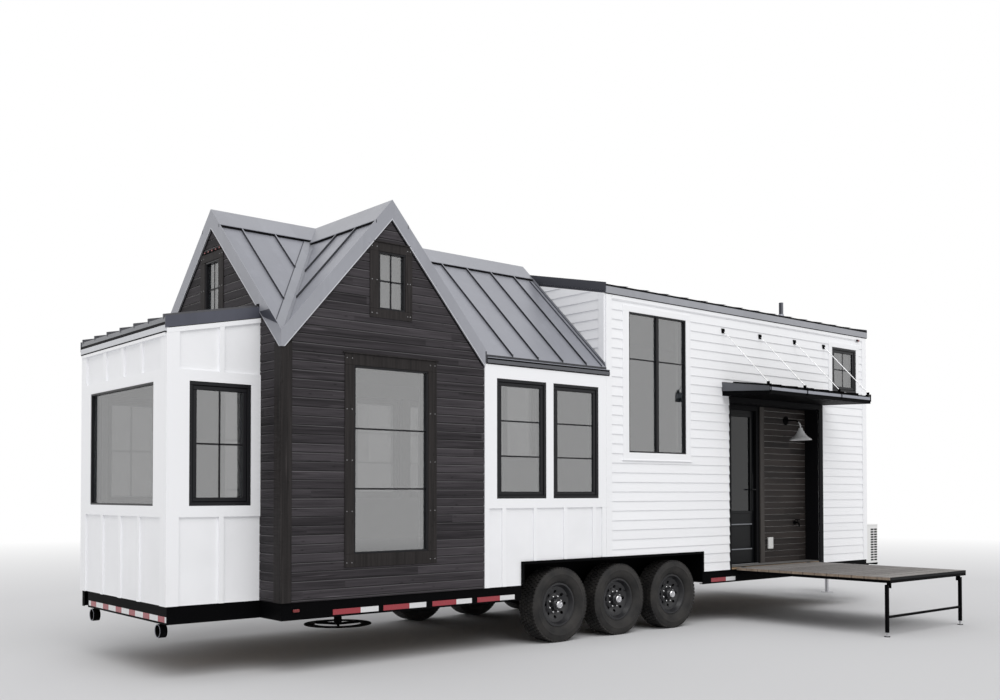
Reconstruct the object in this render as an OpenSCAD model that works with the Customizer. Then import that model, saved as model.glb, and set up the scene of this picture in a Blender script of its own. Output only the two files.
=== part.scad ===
// Tiny house on a triple-axle trailer: a cross-gabled rear end with a square bay, a low middle,
// a tall front section with a recessed entry, and a fold-up entry deck.
// Lengths run along X from the rear wall to the tongue, widths along Y from the entry side, Z is up.

/* [Body] */
// Length of the main body
body_l = 8840; // [8600:10:9200]
// Width of the main body
body_w = 2600; // [2550:10:2700]
// Thickness of the framed walls
wall_t = 140; // [100:5:180]
// Underside of the walls above the ground
base_z = 600; // [580:5:640]
// Thickness of the floor
floor_t = 30; // [25:5:40]

/* [Roofs] */
// Top of the roof panels at the main ridge
ridge_z = 4060; // [4000:5:4080]
// Top of the roof panels over the low walls
eave_z = 2835; // [2780:5:2860]
// Width of the cross gable
gable_w = 2130; // [2000:10:2200]
// Where the tall section starts
tall_x = 3780; // [3700:10:3900]
// Top of the roof at the tall eaves
tall_eave_z = 3685; // [3600:5:3720]
// Top of the roof at the tall ridge
tall_ridge_z = 3970; // [3900:5:4000]
// Height of the roof build-up, measured plumb
roof_t = 80; // [70:5:100]
// How far the roofs pass the walls
roof_lap = 20; // [10:5:40]
// Distance between the standing seams
seam_pitch = 335; // [300:5:400]

/* [Bay] */
// Depth of the rear bay
bay_d = 815; // [700:5:900]
// Width of the rear bay
bay_w = 1930; // [1700:10:2000]
// Distance of the bay from the entry side
bay_y = 366; // [300:2:400]
// Top of the bay roof at the rear wall
bay_top_z = 3070; // [3000:5:3100]
// Rise of the bay roof for each millimetre of depth
bay_pitch = 0.2; // [0.1:0.05:0.3]

/* [Entry] */
// Where the recess starts
recess_x = 5885; // [5800:5:5900]
// Width of the recess
recess_w = 1825; // [1800:5:1900]
// Depth of the recess
recess_d = 200; // [180:5:220]
// Underside of the recess ceiling
recess_top = 2580; // [2560:5:2600]
// Width of the entry door leaf
door_w = 750; // [740:5:755]
// Thickness of the entry door leaf
door_t = 45; // [40:1:50]
// Projection of the awning
awning_d = 670; // [600:5:700]

/* [Deck] */
// Where the deck starts
deck_x = 5950; // [5940:5:5960]
// Width of the deck along the house
deck_w = 1640; // [1600:5:1660]
// Reach of the deck from the house
deck_d = 1980; // [1900:5:2000]
// Top of the deck boards
deck_z = 620; // [610:5:630]

/* [Running gear] */
// Where the first axle is
axle_x = 3130; // [3100:5:3160]
// Distance between the axles
axle_pitch = 864; // [850:1:890]
// Diameter of the tyres
tyre_d = 752; // [740:2:780]
// Width of the tyres
tyre_w = 235; // [215:5:245]
// Diameter of the rims
rim_d = 406; // [400:1:420]
// Height of the black chassis band under the walls
chassis_h = 145; // [130:5:160]
// Reach of the tongue past the body
tongue_l = 1560; // [1400:10:1600]

/* [Hidden] */

$fn = 48;
eps = 1;

// Colours of the finishes
dark_wood = [0.19, 0.17, 0.16];
white_paint = [0.92, 0.92, 0.92];
black_steel = [0.07, 0.07, 0.08];
grey_metal = [0.52, 0.54, 0.58];
dark_metal = [0.22, 0.23, 0.26];
rubber_black = [0.09, 0.09, 0.09];
glass_blue = [0.55, 0.62, 0.68, 0.4];
floor_wood = [0.55, 0.45, 0.33];
deck_wood = [0.42, 0.36, 0.30];
silver = [0.75, 0.75, 0.76];

// Slopes of the three roofs
mid_y = body_w / 2;
mid_x = gable_w / 2;
main_slope = (ridge_z - eave_z) / mid_y;
cross_slope = (ridge_z - eave_z) / mid_x;
tall_slope = (tall_ridge_z - tall_eave_z) / mid_y;
inner_ridge_z = ridge_z - roof_t;
inner_tall_z = tall_ridge_z - roof_t;
function main_top(y) = ridge_z - abs(y - mid_y) * main_slope;
function cross_top(x) = ridge_z - abs(x - mid_x) * cross_slope;
function tall_top(y) = tall_ridge_z - abs(y - mid_y) * tall_slope;
function bay_top(x) = bay_top_z + x * bay_pitch;

floor_z = base_z + floor_t;
chassis_z = base_z - chassis_h;
recess_end = recess_x + recess_w;
return_t = 100;
recess_back_t = 100;
recess_back = recess_d + recess_back_t;
bay_far_y = bay_y + bay_w;
bay_overhang = 30;
bay_lap = 15;
tongue_end = body_l + tongue_l;

// Flashings on the edges of the gables: their height, thickness, rise over the panels and lowest tip
rake_h = 160;
rake_t = 8;
rake_rise = 30;
rake_tip_z = 2700;
far_overhang = roof_lap + rake_t;

// The origin lies on the ground under the middle of the whole outline
origin_x = (tongue_end - bay_d - bay_overhang) / 2;
origin_y = (body_w + far_overhang - deck_d) / 2;

// Windows as [start, end, sill, head] along the wall that holds them
picture_window = [mid_x - 383, mid_x + 403, 978, 2600];
gable_window = [mid_x - 132, mid_x + 150, 3113, 3623];
low_windows = [[2282, 2925, 1446, 2600], [3022, 3664, 1446, 2600]];
tall_window = [4132, 5070, 1934, 3444];
loft_window = [8022, 8593, 2835, 3414];
bay_near_window = [-641, -99, 1397, 2406];
bay_end_window = [618, 2066, 1397, 2406];
rear_gable_window = [mid_y - 141, mid_y + 141, 3113, 3623];
gable_windows = [picture_window, gable_window];
tall_windows = [tall_window, loft_window];
side_windows = concat(gable_windows, low_windows, tall_windows);

frame_depth = 90;
frame_face = 45;
glass_t = 24;

// Wheels; the tyres stand out of the walls a little, so the gap to the wall face is negative
wheel_r = tyre_d / 2;
wheel_gap = -10;
near_wheel_y = wheel_gap;
far_wheel_y = body_w - wheel_gap - tyre_w;
well_x = 2600;
well_end = 5370;
well_top = 832;
well_d = 340;
plate_t = 5;

// Moves a sub-part from the rear corner of the body to the common origin
module place() translate([-origin_x, -origin_y, 0]) children();

// Stands a flat outline drawn along X and Z upright, from y to y + depth
module along_x(y, depth) translate([0, y + depth, 0]) rotate([90, 0, 0]) linear_extrude(depth) children();

// Stands a flat outline drawn along Y and Z upright, from x to x + depth
module along_y(x, depth) translate([x, 0, 0]) rotate([90, 0, 90]) linear_extrude(depth) children();

// A flat rectangle between two opposite corners
module area(x0, z0, x1, z1) translate([x0, z0]) square([x1 - x0, z1 - z0]);

// A box between two opposite corners
module block(a, b) translate(a) cube(b - a);

// The flat shape of one window, grown or shrunk on every side
module window_area(w, grow = 0) area(w[0] - grow, w[2] - grow, w[1] + grow, w[3] + grow);

// A rod between two points
module rod(a, b, d) {
    v = b - a;
    run = norm([v[0], v[1]]);
    translate(a) rotate([0, atan2(run, v[2]), atan2(v[1], v[0])]) cylinder(h = norm(v), d = d);
}

/* Chassis */

rail_h = chassis_h;
rail_w = 75;
rail_y = [560, body_w - 560];
web_t = 8;
flange_t = 10;

// An outline of an I-beam in the middle of its width, with its top at 0
module i_section() {
    for (z = [-flange_t, -rail_h]) translate([-rail_w / 2, z]) square([rail_w, flange_t]);
    translate([-web_t / 2, -rail_h]) square([web_t, rail_h]);
}

cross_pitch = 610;
cross_first = 305;
cross_w = 50;
cross_h = 80;
cross_z = base_z - flange_t - cross_h;
cross_x = [for (x = [cross_first - cross_pitch : cross_pitch : body_l - cross_first]) x];

// Two beams that the cross members pass through
module chassis_rails() place() color(black_steel) difference() {
    for (y = rail_y) along_y(-bay_d + channel_w, body_l + bay_d - 2 * channel_w)
        translate([y, base_z]) i_section();
    for (x = cross_x) block([x, 0, cross_z], [x + cross_w, body_w, cross_z + cross_h]);
}

// Cross members between the side channels, shorter in the bay and where the wheels stand
module cross_members() place() color(black_steel) for (x = cross_x) {
    at_wheels = x > well_x - cross_w && x < well_end;
    near = x < 0 ? bay_y + channel_t : at_wheels ? well_d : channel_t;
    far = x < 0 ? skirt_far_y - channel_t : body_w - near;
    block([x, near, cross_z], [x + cross_w, far, cross_z + cross_h]);
}

channel_t = 8;
channel_w = 50;
weld_gap = 1;
// The far wall of the bay stands past the frame under it
skirt_far_y = bay_far_y - 150;

// A channel's outline with its back at 0 and its flanges pointing to +X
module c_section() difference() {
    square([channel_w, chassis_h]);
    translate([channel_t, channel_t]) square([channel_w, chassis_h - 2 * channel_t]);
}

// A channel along X between two ends, with its flanges pointing to side, 1 or -1
module channel_x(x0, x1, y, side) along_y(x0, x1 - x0) translate([y, chassis_z]) scale([side, 1]) c_section();

// A channel along Y between two ends, with its flanges pointing to side, 1 or -1
module channel_y(y0, y1, x, side) along_x(y0, y1 - y0) translate([x, chassis_z]) scale([side, 1]) c_section();

// Channels round the edge, each a weld gap short of the next
module side_channels() place() color(black_steel) {
    for (x = [[0, well_x], [well_end, body_l]]) {
        channel_x(x[0], x[1], 0, 1);
        channel_x(x[0], x[1], body_w, -1);
    }
    // Across the front end and the two rear corners
    inset = channel_w + weld_gap;
    channel_y(inset, body_w - inset, body_l, -1);
    channel_y(inset, bay_y - weld_gap, 0, 1);
    channel_y(skirt_far_y + weld_gap, body_w - inset, 0, 1);
    // Round the bay
    channel_y(bay_y, skirt_far_y, -bay_d, 1);
    channel_x(-bay_d + inset, channel_w, bay_y, 1);
    channel_x(-bay_d + inset, channel_w, skirt_far_y, -1);
}

tongue_rail_h = 125;
tongue_z = base_z - 70;
tongue_root = 900;
tongue_nose = 60;
carrier_x = [body_l + 260, body_l + 490];
carrier_w = 40;
jack_x = tongue_end - 480;
coupler_x = tongue_end - 255;
socket_r = 62;
ball_r = 30;

module tongue_rail(side) {
    start = [body_l, mid_y + side * tongue_root];
    finish = [coupler_x - 5, mid_y + side * tongue_nose];
    translate([0, 0, tongue_z - tongue_rail_h]) linear_extrude(tongue_rail_h)
        polygon([start - [0, 35], start + [0, 35], finish + [0, 30], finish - [0, 30]]);
}

jack_sleeve_d = 64;
jack_leg_d = 54;
jack_plate = [180, 12];
jack_top = 980;

module tongue() place() color(black_steel) difference() {
    union() {
        for (side = [-1, 1]) tongue_rail(side);
        // Cross bars that carry the condenser, and the nose plate between the rails
        for (x = carrier_x)
            block([x, ac_y[0], tongue_z - 30], [x + carrier_w, body_w - 500, tongue_z]);
        block([jack_x - 90, mid_y - 130, tongue_z - 12], [coupler_x, mid_y + 130, tongue_z]);
        block([coupler_x - 12, mid_y - 100, tongue_z - tongue_rail_h], [coupler_x, mid_y + 100, tongue_z]);
    }
    translate([jack_x, mid_y, 0]) cylinder(h = jack_top, d = jack_sleeve_d + 1);
}

// A square neck that ends in a round socket, open from below for the ball
module coupler() place() color(black_steel) difference() {
    union() {
        block([coupler_x, mid_y - 38, tongue_z - 115], [tongue_end - 90, mid_y + 38, tongue_z - 39]);
        translate([tongue_end - socket_r, mid_y, tongue_z - 130]) cylinder(h = 95, r = socket_r);
    }
    translate([tongue_end - socket_r, mid_y, tongue_z - 131]) cylinder(h = 66, r = ball_r);
}

module tongue_jack() place() color(black_steel) translate([jack_x, mid_y, 0]) difference() {
    union() {
        translate([0, 0, 330]) cylinder(h = jack_top - 330, d = jack_sleeve_d);
        translate([0, 0, jack_top]) cylinder(h = 70, d = 110);
        translate([0, 0, tongue_z]) cylinder(h = 12, d = 130);
    }
    translate([0, 0, 329]) cylinder(h = 580, d = jack_leg_d + 2);
}

module jack_leg() place() color(silver) translate([jack_x, mid_y, 0]) {
    cylinder(h = jack_plate[1], d = jack_plate[0]);
    cylinder(h = 560, d = jack_leg_d);
}

axle_z = wheel_r;
axle_tube_d = 76;
spindle_y = wheel_gap + tyre_w / 2 - 24;
spindle_d = 50;
drum_y = wheel_gap + 140;
drum_w = 70;
drum_d = 300;

module axles() place() color(black_steel) for (i = [0 : 2]) translate([axle_x + i * axle_pitch, 0, 0]) {
    translate([0, tyre_w + wheel_gap - 10, axle_z]) rotate([-90, 0, 0])
        cylinder(h = body_w - 2 * (tyre_w + wheel_gap - 10), d = axle_tube_d);
    // Hanger under each rail that carries the axle
    for (y = rail_y) block([-60, y - 30, axle_z], [60, y + 30, base_z - rail_h]);
    // Spindle and brake drum at each end
    for (side = [0, 1]) translate([0, side * body_w, axle_z]) mirror([0, side, 0]) rotate([-90, 0, 0]) {
        translate([0, 0, spindle_y]) cylinder(h = 200, d = spindle_d);
        translate([0, 0, drum_y]) cylinder(h = drum_w, d = drum_d);
    }
}

module wheel_well(y, open_side) {
    inner = y + open_side * well_d;
    low = min(y, inner);
    difference() {
        block([well_x, low, chassis_z + 20], [well_end, low + well_d, well_top]);
        translate([0, open_side * -plate_t, 0])
            block([well_x + plate_t, low, chassis_z], [well_end - plate_t, low + well_d, well_top - plate_t]);
    }
}

module wheel_wells() place() color(black_steel) {
    wheel_well(0, 1);
    wheel_well(body_w, -1);
}

light_ring_d = 112;
light_drop = light_ring_d / 2 + 8;
light_y = [bay_y + 188, bay_far_y - 237];

module tail_lights() place() color(black_steel)
    for (y = light_y) translate([-bay_d + 5, y, chassis_z - light_drop]) {
        rotate([0, 90, 0]) difference() {
            cylinder(h = 60, d = light_ring_d);
            translate([0, 0, -eps]) cylinder(h = 40, d = light_ring_d - 12);
        }
        block([30, -20, light_ring_d / 2 - 4], [50, 20, light_drop]);
    }

module floor() place() color(floor_wood) difference() {
    union() {
        block([wall_t, wall_t, base_z], [body_l - wall_t, body_w - wall_t, floor_z]);
        block([-bay_d + wall_t, bay_y + wall_t, base_z], [wall_t, bay_far_y - wall_t, floor_z]);
        block([recess_x, 0, base_z], [recess_end, wall_t, deck_z]);
    }
    for (y = [-eps, body_w - well_d - eps])
        block([well_x, y, base_z - eps], [well_end, y + well_d + 2 * eps, floor_z + eps]);
    block([recess_x, -eps, deck_z], [recess_end, recess_d, floor_z + eps]);
    for (x = [recess_x - return_t, recess_end])
        block([x, wall_t - eps, base_z - eps], [x + return_t, recess_back, floor_z + eps]);
    block([recess_x - eps, recess_d, base_z - eps], [recess_end + eps, recess_back, floor_z + eps]);
}

/* Walls */

// The gable shape under the cross roof, from the base up
module cross_outline() polygon([[0, base_z], [gable_w, base_z], [gable_w, cross_top(0) - roof_t],
    [mid_x, inner_ridge_z], [0, cross_top(0) - roof_t]]);

module gable_wall(y) place() color(dark_wood) along_x(y, wall_t) difference() {
    cross_outline();
    for (w = gable_windows) window_area(w);
}

module near_gable_wall() gable_wall(0);
module far_gable_wall() gable_wall(body_w - wall_t);

module low_wall(y) place() color(white_paint) along_x(y, wall_t) difference() {
    area(gable_w, base_z, tall_x, main_top(0) - roof_t);
    for (w = low_windows) window_area(w);
    area(well_x, base_z - eps, well_end, well_top);
}

module near_low_wall() low_wall(0);
module far_low_wall() low_wall(body_w - wall_t);

tall_wall_top = tall_top(0) - roof_t;

module near_tall_wall() place() color(white_paint) along_x(0, wall_t) difference() {
    area(tall_x, base_z, recess_x, tall_wall_top);
    window_area(tall_window);
    area(well_x, base_z - eps, well_end, well_top);
}

ceiling_t = 60;

// The wall over the recess, with the recess ceiling behind it
module near_header_wall() place() color(white_paint) {
    along_x(0, wall_t) area(recess_x, recess_top, recess_end, tall_wall_top);
    block([recess_x, wall_t / 2, recess_top], [recess_end, recess_back, recess_top + ceiling_t]);
    block([recess_x - return_t, wall_t, recess_top],
        [recess_end + return_t, recess_back, recess_top + ceiling_t]);
}

module near_front_wall() place() color(white_paint) along_x(0, wall_t) difference() {
    area(recess_end, base_z, body_l, tall_wall_top);
    window_area(loft_window);
}

module far_tall_wall() place() color(white_paint) along_x(body_w - wall_t, wall_t) difference() {
    area(tall_x, base_z, body_l, tall_wall_top);
    for (w = tall_windows) window_area(w);
    area(well_x, base_z - eps, well_end, well_top);
}

module front_wall() place() color(white_paint) along_y(body_l - wall_t, wall_t)
    polygon([[wall_t, base_z], [body_w - wall_t, base_z], [body_w - wall_t, tall_top(wall_t) - roof_t],
        [mid_y, inner_tall_z], [wall_t, tall_top(wall_t) - roof_t]]);

rear_split_z = 2600;

module rear_gable_wall() place() color(dark_wood) along_y(0, wall_t) difference() {
    polygon([[wall_t, rear_split_z], [body_w - wall_t, rear_split_z],
        [body_w - wall_t, main_top(wall_t) - roof_t], [mid_y, inner_ridge_z],
        [wall_t, main_top(wall_t) - roof_t]]);
    window_area(rear_gable_window);
}

module rear_wall_sides() place() color(dark_wood) along_y(0, wall_t) {
    area(wall_t, base_z, bay_y + wall_t, rear_split_z);
    area(bay_far_y - wall_t, base_z, body_w - wall_t, rear_split_z);
}

// Where the underside of the main roof meets the underside of the tall roof
meet_y = mid_y - (inner_ridge_z - inner_tall_z) / (main_slope - tall_slope);

module tall_end_walls() place() color(white_paint) along_y(tall_x, wall_t) for (side = [0, 1])
    translate([side * body_w, 0]) mirror([side, 0])
        polygon([[wall_t, main_top(wall_t) - roof_t], [meet_y, tall_top(meet_y) - roof_t],
            [wall_t, tall_top(wall_t) - roof_t]]);

bay_roof_t = 90;

module bay_side_walls() place() color(white_paint) {
    for (y = [bay_y, bay_far_y - wall_t]) along_x(y, wall_t) difference() {
        polygon([[-bay_d, base_z], [0, base_z], [0, bay_top(0) - bay_roof_t],
            [-bay_d, bay_top(-bay_d) - bay_roof_t]]);
        window_area(bay_near_window);
    }
}

module bay_end_wall() place() color(white_paint) along_y(-bay_d, wall_t) difference() {
    area(bay_y + wall_t, base_z, bay_far_y - wall_t, bay_top(-bay_d) - bay_roof_t);
    window_area(bay_end_window);
}

module recess_returns() place() color(black_steel) for (x = [recess_x - return_t, recess_end])
    block([x, wall_t, base_z], [x + return_t, recess_back, recess_top]);

jamb_left = 40;
door_x = recess_x + jamb_left + 5;
door_end = door_x + door_w;
post_x = door_end + 12;
post_w = 123;

module recess_wall() place() color(dark_wood)
    block([post_x + post_w, recess_d, base_z], [recess_end, recess_back, recess_top]);

/* Entry door */

door_base = 645;
door_head = 2530;
door_y = recess_d + 40;
stop_t = 32;
stop_in = 15;

// Butt hinges with their knuckles on the inner side
butt_pin = [door_x - 3, door_y + door_t + 5];
butt_z = [840, 1580, 2330];
butt_h = 110;
knuckle_d = 14;
knuckle_gap = 1;

// The knuckles of one leaf: the outer two belong to the frame, the middle one to the door
module knuckles(height, offsets, grow = 0) for (z = butt_z, offset = offsets)
    translate([butt_pin[0], butt_pin[1], z + offset - height / 2 - grow])
        cylinder(h = height + 2 * grow, d = knuckle_d + 2 * grow);

module door_frame() place() color(black_steel) {
    difference() {
        along_x(recess_d, recess_back_t) difference() {
            area(recess_x, base_z, post_x + post_w, recess_top);
            area(door_x - 7, door_base - 8, post_x, door_head + 10);
        }
        knuckles(butt_h / 3, [0], knuckle_gap);
    }
    knuckles(butt_h / 3 - knuckle_gap, [-butt_h / 3 - knuckle_gap / 2, butt_h / 3 + knuckle_gap / 2]);
    along_x(recess_d, stop_t) difference() {
        area(recess_x + 2, base_z + 2, post_x + 2, recess_top - 2);
        area(door_x + stop_in, door_base - 9, door_end - stop_in, door_head - stop_in);
    }
}

lite = [door_x + 78, door_end - 78, 1262, door_head - 80];
lower_panel = [door_x + 62, door_end - 62, 818, 1122];
panel_border = 32;
panel_sunk = 11;

module entry_door() place() color(black_steel) {
    difference() {
        along_x(door_y, door_t) difference() {
            area(door_x, door_base, door_end, door_head);
            window_area(lite);
        }
        // A raised panel in a sunk border on both faces
        for (y = [door_y - eps, door_y + door_t - panel_sunk]) along_x(y, panel_sunk + eps) difference() {
            window_area(lower_panel);
            window_area(lower_panel, -panel_border);
        }
        knuckles(butt_h / 3, [-butt_h / 3, butt_h / 3], knuckle_gap);
    }
    knuckles(butt_h / 3 - knuckle_gap, [0]);
}

module door_glass() place() color(glass_blue) along_x(door_y + 12, 20) window_area(lite);

handle_x = door_end - 45;
handle_z = 1540;
plate_z = [1275, 1745];
lever_l = 75;

module door_handle() place() color(black_steel) for (side = [0, 1]) {
    face_y = side ? door_y + door_t : door_y;
    out = side ? 1 : -1;
    plate_y = side ? face_y : face_y - 10;
    block([handle_x - 22, plate_y, plate_z[0]], [handle_x + 22, plate_y + 10, plate_z[1]]);
    rod([handle_x, face_y, handle_z], [handle_x, face_y + out * 50, handle_z], 18);
    rod([handle_x + 9, face_y + out * 45, handle_z], [handle_x - lever_l, face_y + out * 45, handle_z], 16);
}

/* Roofs */

// The filled outline under a gable roof of the given half width
module gable_fill(mid, half, top, slope, drop, lap) {
    run = half + lap;
    low = top - run * slope;
    polygon([[mid - run, low - drop], [mid + run, low - drop], [mid + run, low],
        [mid, top], [mid - run, low]]);
}

// The space under a gable roof, cut wider than the walls
module gable_void(mid, half, top, slope) polygon([[mid - 2 * half, top - 2 * half * slope],
    [mid, top], [mid + 2 * half, top - 2 * half * slope]]);

seam_w = 12;
seam_h = 28;
cap_t = 6;
cap_wing = 180;
// The caps lie a hair over the seams
cap_gap = 0.5;
cap_top_z = ridge_z + seam_h + cap_gap + cap_t;
// Width of the valley flashing on the main and on the cross roof, where the seams stop
valley_w = [100, 50];
// The main seams are set out from both ends and end at the valleys
rear_seam_x = 190;
front_seam_x = tall_x - 300;
main_seam_x = [rear_seam_x, rear_seam_x + seam_pitch, for (n = [0 : 6]) front_seam_x - n * seam_pitch];
cross_seam_y = [for (side = [-1, 1], n = [2, 3]) mid_y + side * n * seam_pitch];
// Half the length of a seam in plan, from the ridge to the eave or to the valley
function main_seam_run(x) = x > gable_w ? mid_y + roof_lap
    : abs(x + seam_w / 2 - mid_x) * mid_y / mid_x - valley_w[0];
function cross_seam_run(y) = abs(y - mid_y) * mid_x / mid_y - valley_w[1];
vent_x = 8100;
vent_y = 820;
vent_h = 250;
vent_d = 60;
end_rise = 35;
end_h = 90;

// Room for the bay roof under the rear edge of the main roof
module bay_roof_room() block([-2 * roof_lap, bay_y - bay_lap - eps, base_z],
    [0, bay_far_y + bay_lap + eps, bay_top(0) + seam_h + eps]);

module cross_gable_roof() place() color(grey_metal) difference() {
    union() {
        along_y(-roof_lap, tall_x + roof_lap) gable_fill(mid_y, mid_y, ridge_z, main_slope, roof_t, roof_lap);
        along_x(-roof_lap, body_w + 2 * roof_lap) gable_fill(mid_x, mid_x, ridge_z, cross_slope, roof_t, 0);
        // Standing seams of both roofs; those near the crossing would lie under the ridge caps
        for (x = main_seam_x) along_y(x, seam_w)
            gable_fill(mid_y, main_seam_run(x), ridge_z + seam_h, main_slope, 2 * seam_h, 0);
        for (y = cross_seam_y) along_x(y - seam_w / 2, seam_w)
            gable_fill(mid_x, cross_seam_run(y), ridge_z + seam_h, cross_slope, 2 * seam_h, 0);
    }
    bay_roof_room();
    along_y(-2 * roof_lap, tall_x + 4 * roof_lap) gable_void(mid_y, mid_y, inner_ridge_z, main_slope);
    along_x(-2 * roof_lap, body_w + 4 * roof_lap) gable_void(mid_x, mid_x, inner_ridge_z, cross_slope);
}

// The flashing on one end of the tall roof
module end_flashing(x) along_y(x, rake_t)
    chevron(mid_y, mid_y + roof_lap, tall_ridge_z + end_rise, tall_slope, end_h);

module tall_roof() place() color(dark_metal) {
    difference() {
        union() {
            along_y(tall_x, body_l + roof_lap - tall_x)
                gable_fill(mid_y, mid_y, tall_ridge_z, tall_slope, roof_t, roof_lap);
            for (x = [tall_x + seam_pitch : seam_pitch : body_l - seam_w])
                along_y(x, seam_w) gable_fill(mid_y, mid_y, tall_ridge_z + seam_h, tall_slope, 0, roof_lap);
        }
        along_y(tall_x - roof_lap, body_l) gable_void(mid_y, mid_y, inner_tall_z, tall_slope);
    }
    end_flashing(body_l + roof_lap);
    // The rear flashing stops on the main roof and its ridge cap
    difference() {
        end_flashing(tall_x - rake_t);
        along_y(tall_x - roof_lap, 2 * roof_lap)
            gable_fill(mid_y, mid_y, cap_top_z, main_slope, roof_t, roof_lap);
    }
    translate([vent_x, vent_y, tall_top(vent_y) - 40]) cylinder(h = vent_h + 40, d = vent_d);
}

// A layer along the slope of the bay roof, between two heights over its panels
module bay_layer(low, high) polygon([for (p = [[1, low], [0, low], [0, high], [1, high]])
    [-p[0] * (bay_d + bay_overhang), bay_top(-p[0] * (bay_d + bay_overhang)) + p[1]]]);

bay_seam_inset = 30;
bay_seam_pitch = 310;

module bay_roof() place() color(dark_metal) {
    along_x(bay_y - bay_lap, bay_w + 2 * bay_lap) bay_layer(-bay_roof_t, 0);
    for (y = [bay_y + bay_seam_inset : bay_seam_pitch : bay_far_y - bay_seam_inset])
        along_x(y, seam_w) bay_layer(-10, seam_h);
}

// A flat chevron that covers the edge of a gable roof
module chevron(mid, half, top, slope, height) polygon([[mid - half, top - half * slope], [mid, top],
    [mid + half, top - half * slope], [mid + half, top - half * slope - height], [mid, top - height],
    [mid - half, top - half * slope - height]]);

// Edge flashings and ridge caps; the caps run onto the flashings
module roof_trim() place() color(grey_metal) {
    difference() {
        union() {
            for (y = [-roof_lap - rake_t, body_w + roof_lap]) along_x(y, rake_t)
                chevron(mid_x, mid_x + roof_lap + rake_t, ridge_z + rake_rise, cross_slope, rake_h);
            along_y(-roof_lap - rake_t, rake_t)
                chevron(mid_y, mid_y + roof_lap + rake_t, ridge_z + rake_rise, main_slope, rake_h);
        }
        // The flashings end flat at the corners, at the low eaves and on the bay roof
        block([-2 * roof_lap, -2 * roof_lap, base_z], [tall_x, body_w + 2 * roof_lap, rake_tip_z]);
        for (y = [-2 * roof_lap, body_w]) block([gable_w, y, base_z], [tall_x, y + 2 * roof_lap, ridge_z]);
        bay_roof_room();
    }
    // Each ridge cap is cut where it meets the slopes of the other roof
    difference() {
        along_y(-roof_lap - rake_t, tall_x + roof_lap + rake_t)
            chevron(mid_y, cap_wing, cap_top_z, main_slope, cap_t);
        along_x(0, body_w) gable_fill(mid_x, mid_x, ridge_z, cross_slope, roof_t, 0);
    }
    difference() {
        along_x(-roof_lap - rake_t, body_w + 2 * (roof_lap + rake_t))
            chevron(mid_x, cap_wing, cap_top_z, cross_slope, cap_t);
        along_y(0, tall_x) gable_fill(mid_y, mid_y, ridge_z, main_slope, roof_t, roof_lap);
    }
}

/* Windows */

mullion_w = 60;
frame_out = 12;
glass_in = 20;

// The mullion of the tall window, as high as asked from sill to head
module mullion(w, inset) translate([(w[0] + w[1] - mullion_w) / 2, w[2] + inset])
    square([mullion_w, w[3] - w[2] - 2 * inset]);

// A frame round one window, with a mullion in the middle of the tall one
module window_frame(w) {
    difference() {
        window_area(w);
        window_area(w, -frame_face);
    }
    if (w == tall_window) mullion(w, eps);
}

module window_frames() place() color(black_steel) {
    for (y = [-frame_out, body_w + frame_out - frame_depth]) along_x(y, frame_depth)
        for (w = side_windows) window_frame(w);
    for (y = [bay_y - frame_out, bay_far_y + frame_out - frame_depth]) along_x(y, frame_depth)
        window_frame(bay_near_window);
    along_y(-bay_d - frame_out, frame_depth) window_frame(bay_end_window);
    along_y(-frame_out, frame_depth) window_frame(rear_gable_window);
}

// The panes of one window, clear of the mullion where there is one
module panes(w) difference() {
    window_area(w, -frame_face);
    if (w == tall_window) mullion(w, 0);
}

module window_glass() place() color(glass_blue) {
    for (y = [glass_in, body_w - glass_in - glass_t]) along_x(y, glass_t) for (w = side_windows) panes(w);
    for (y = [bay_y + glass_in, bay_far_y - glass_in - glass_t]) along_x(y, glass_t) panes(bay_near_window);
    along_y(-bay_d + glass_in, glass_t) panes(bay_end_window);
    along_y(glass_in, glass_t) panes(rear_gable_window);
}

/* Awning */

awning_x = 5728;
awning_end = 7835;
awning_wall_z = 2797;
awning_drop = 90;
// Height of the awning's ends, at its front edge and at the wall
awning_t = [95, 163];
awning_seam_x = [awning_x + 212 : 320 : awning_end];
stay_x = [awning_x + 17, 6460, 7180, awning_end - 7];
stay_wall_z = 3395;
stay_d = 10;
lug_y = -awning_d + 30;
lug_h = 45;

function awning_z(y) = awning_wall_z + y * awning_drop / awning_d;

// A layer along the slope of the awning, between two heights over its panels
module awning_layer(y0, y1, low, high) polygon([[y0, awning_z(y0) + low], [y1, awning_z(y1) + low],
    [y1, awning_z(y1) + high], [y0, awning_z(y0) + high]]);

module awning() place() color(black_steel) {
    along_y(awning_x, awning_end - awning_x)
        polygon([[-awning_d, awning_z(-awning_d) - awning_t[0]], [0, awning_wall_z - awning_t[1]],
            [0, awning_wall_z], [-awning_d, awning_z(-awning_d)]]);
    for (x = awning_seam_x) along_y(x, 10) awning_layer(-awning_d, 0, -10, 20);
}

// Rods from round wall plates to lugs that stand on the awning
module awning_stays() place() color(black_steel) for (x = stay_x) {
    rod([x, -10, stay_wall_z], [x, lug_y, awning_z(lug_y) + lug_h - 5], stay_d);
    translate([x, 0, stay_wall_z]) rotate([90, 0, 0]) cylinder(h = 20, d = 60);
    along_y(x - 7, 14) awning_layer(lug_y - 20, lug_y + 20, 0, lug_h);
}

/* Fittings */

lamp_x = 7275;
lamp_z = 2420;
neck_d = 18;
neck_r = 100;
collar_d = 26;
shade_y = -30;
shade_z = 2175;
shade_h = 135;
stem_z = shade_z + shade_h - 6;

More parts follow.
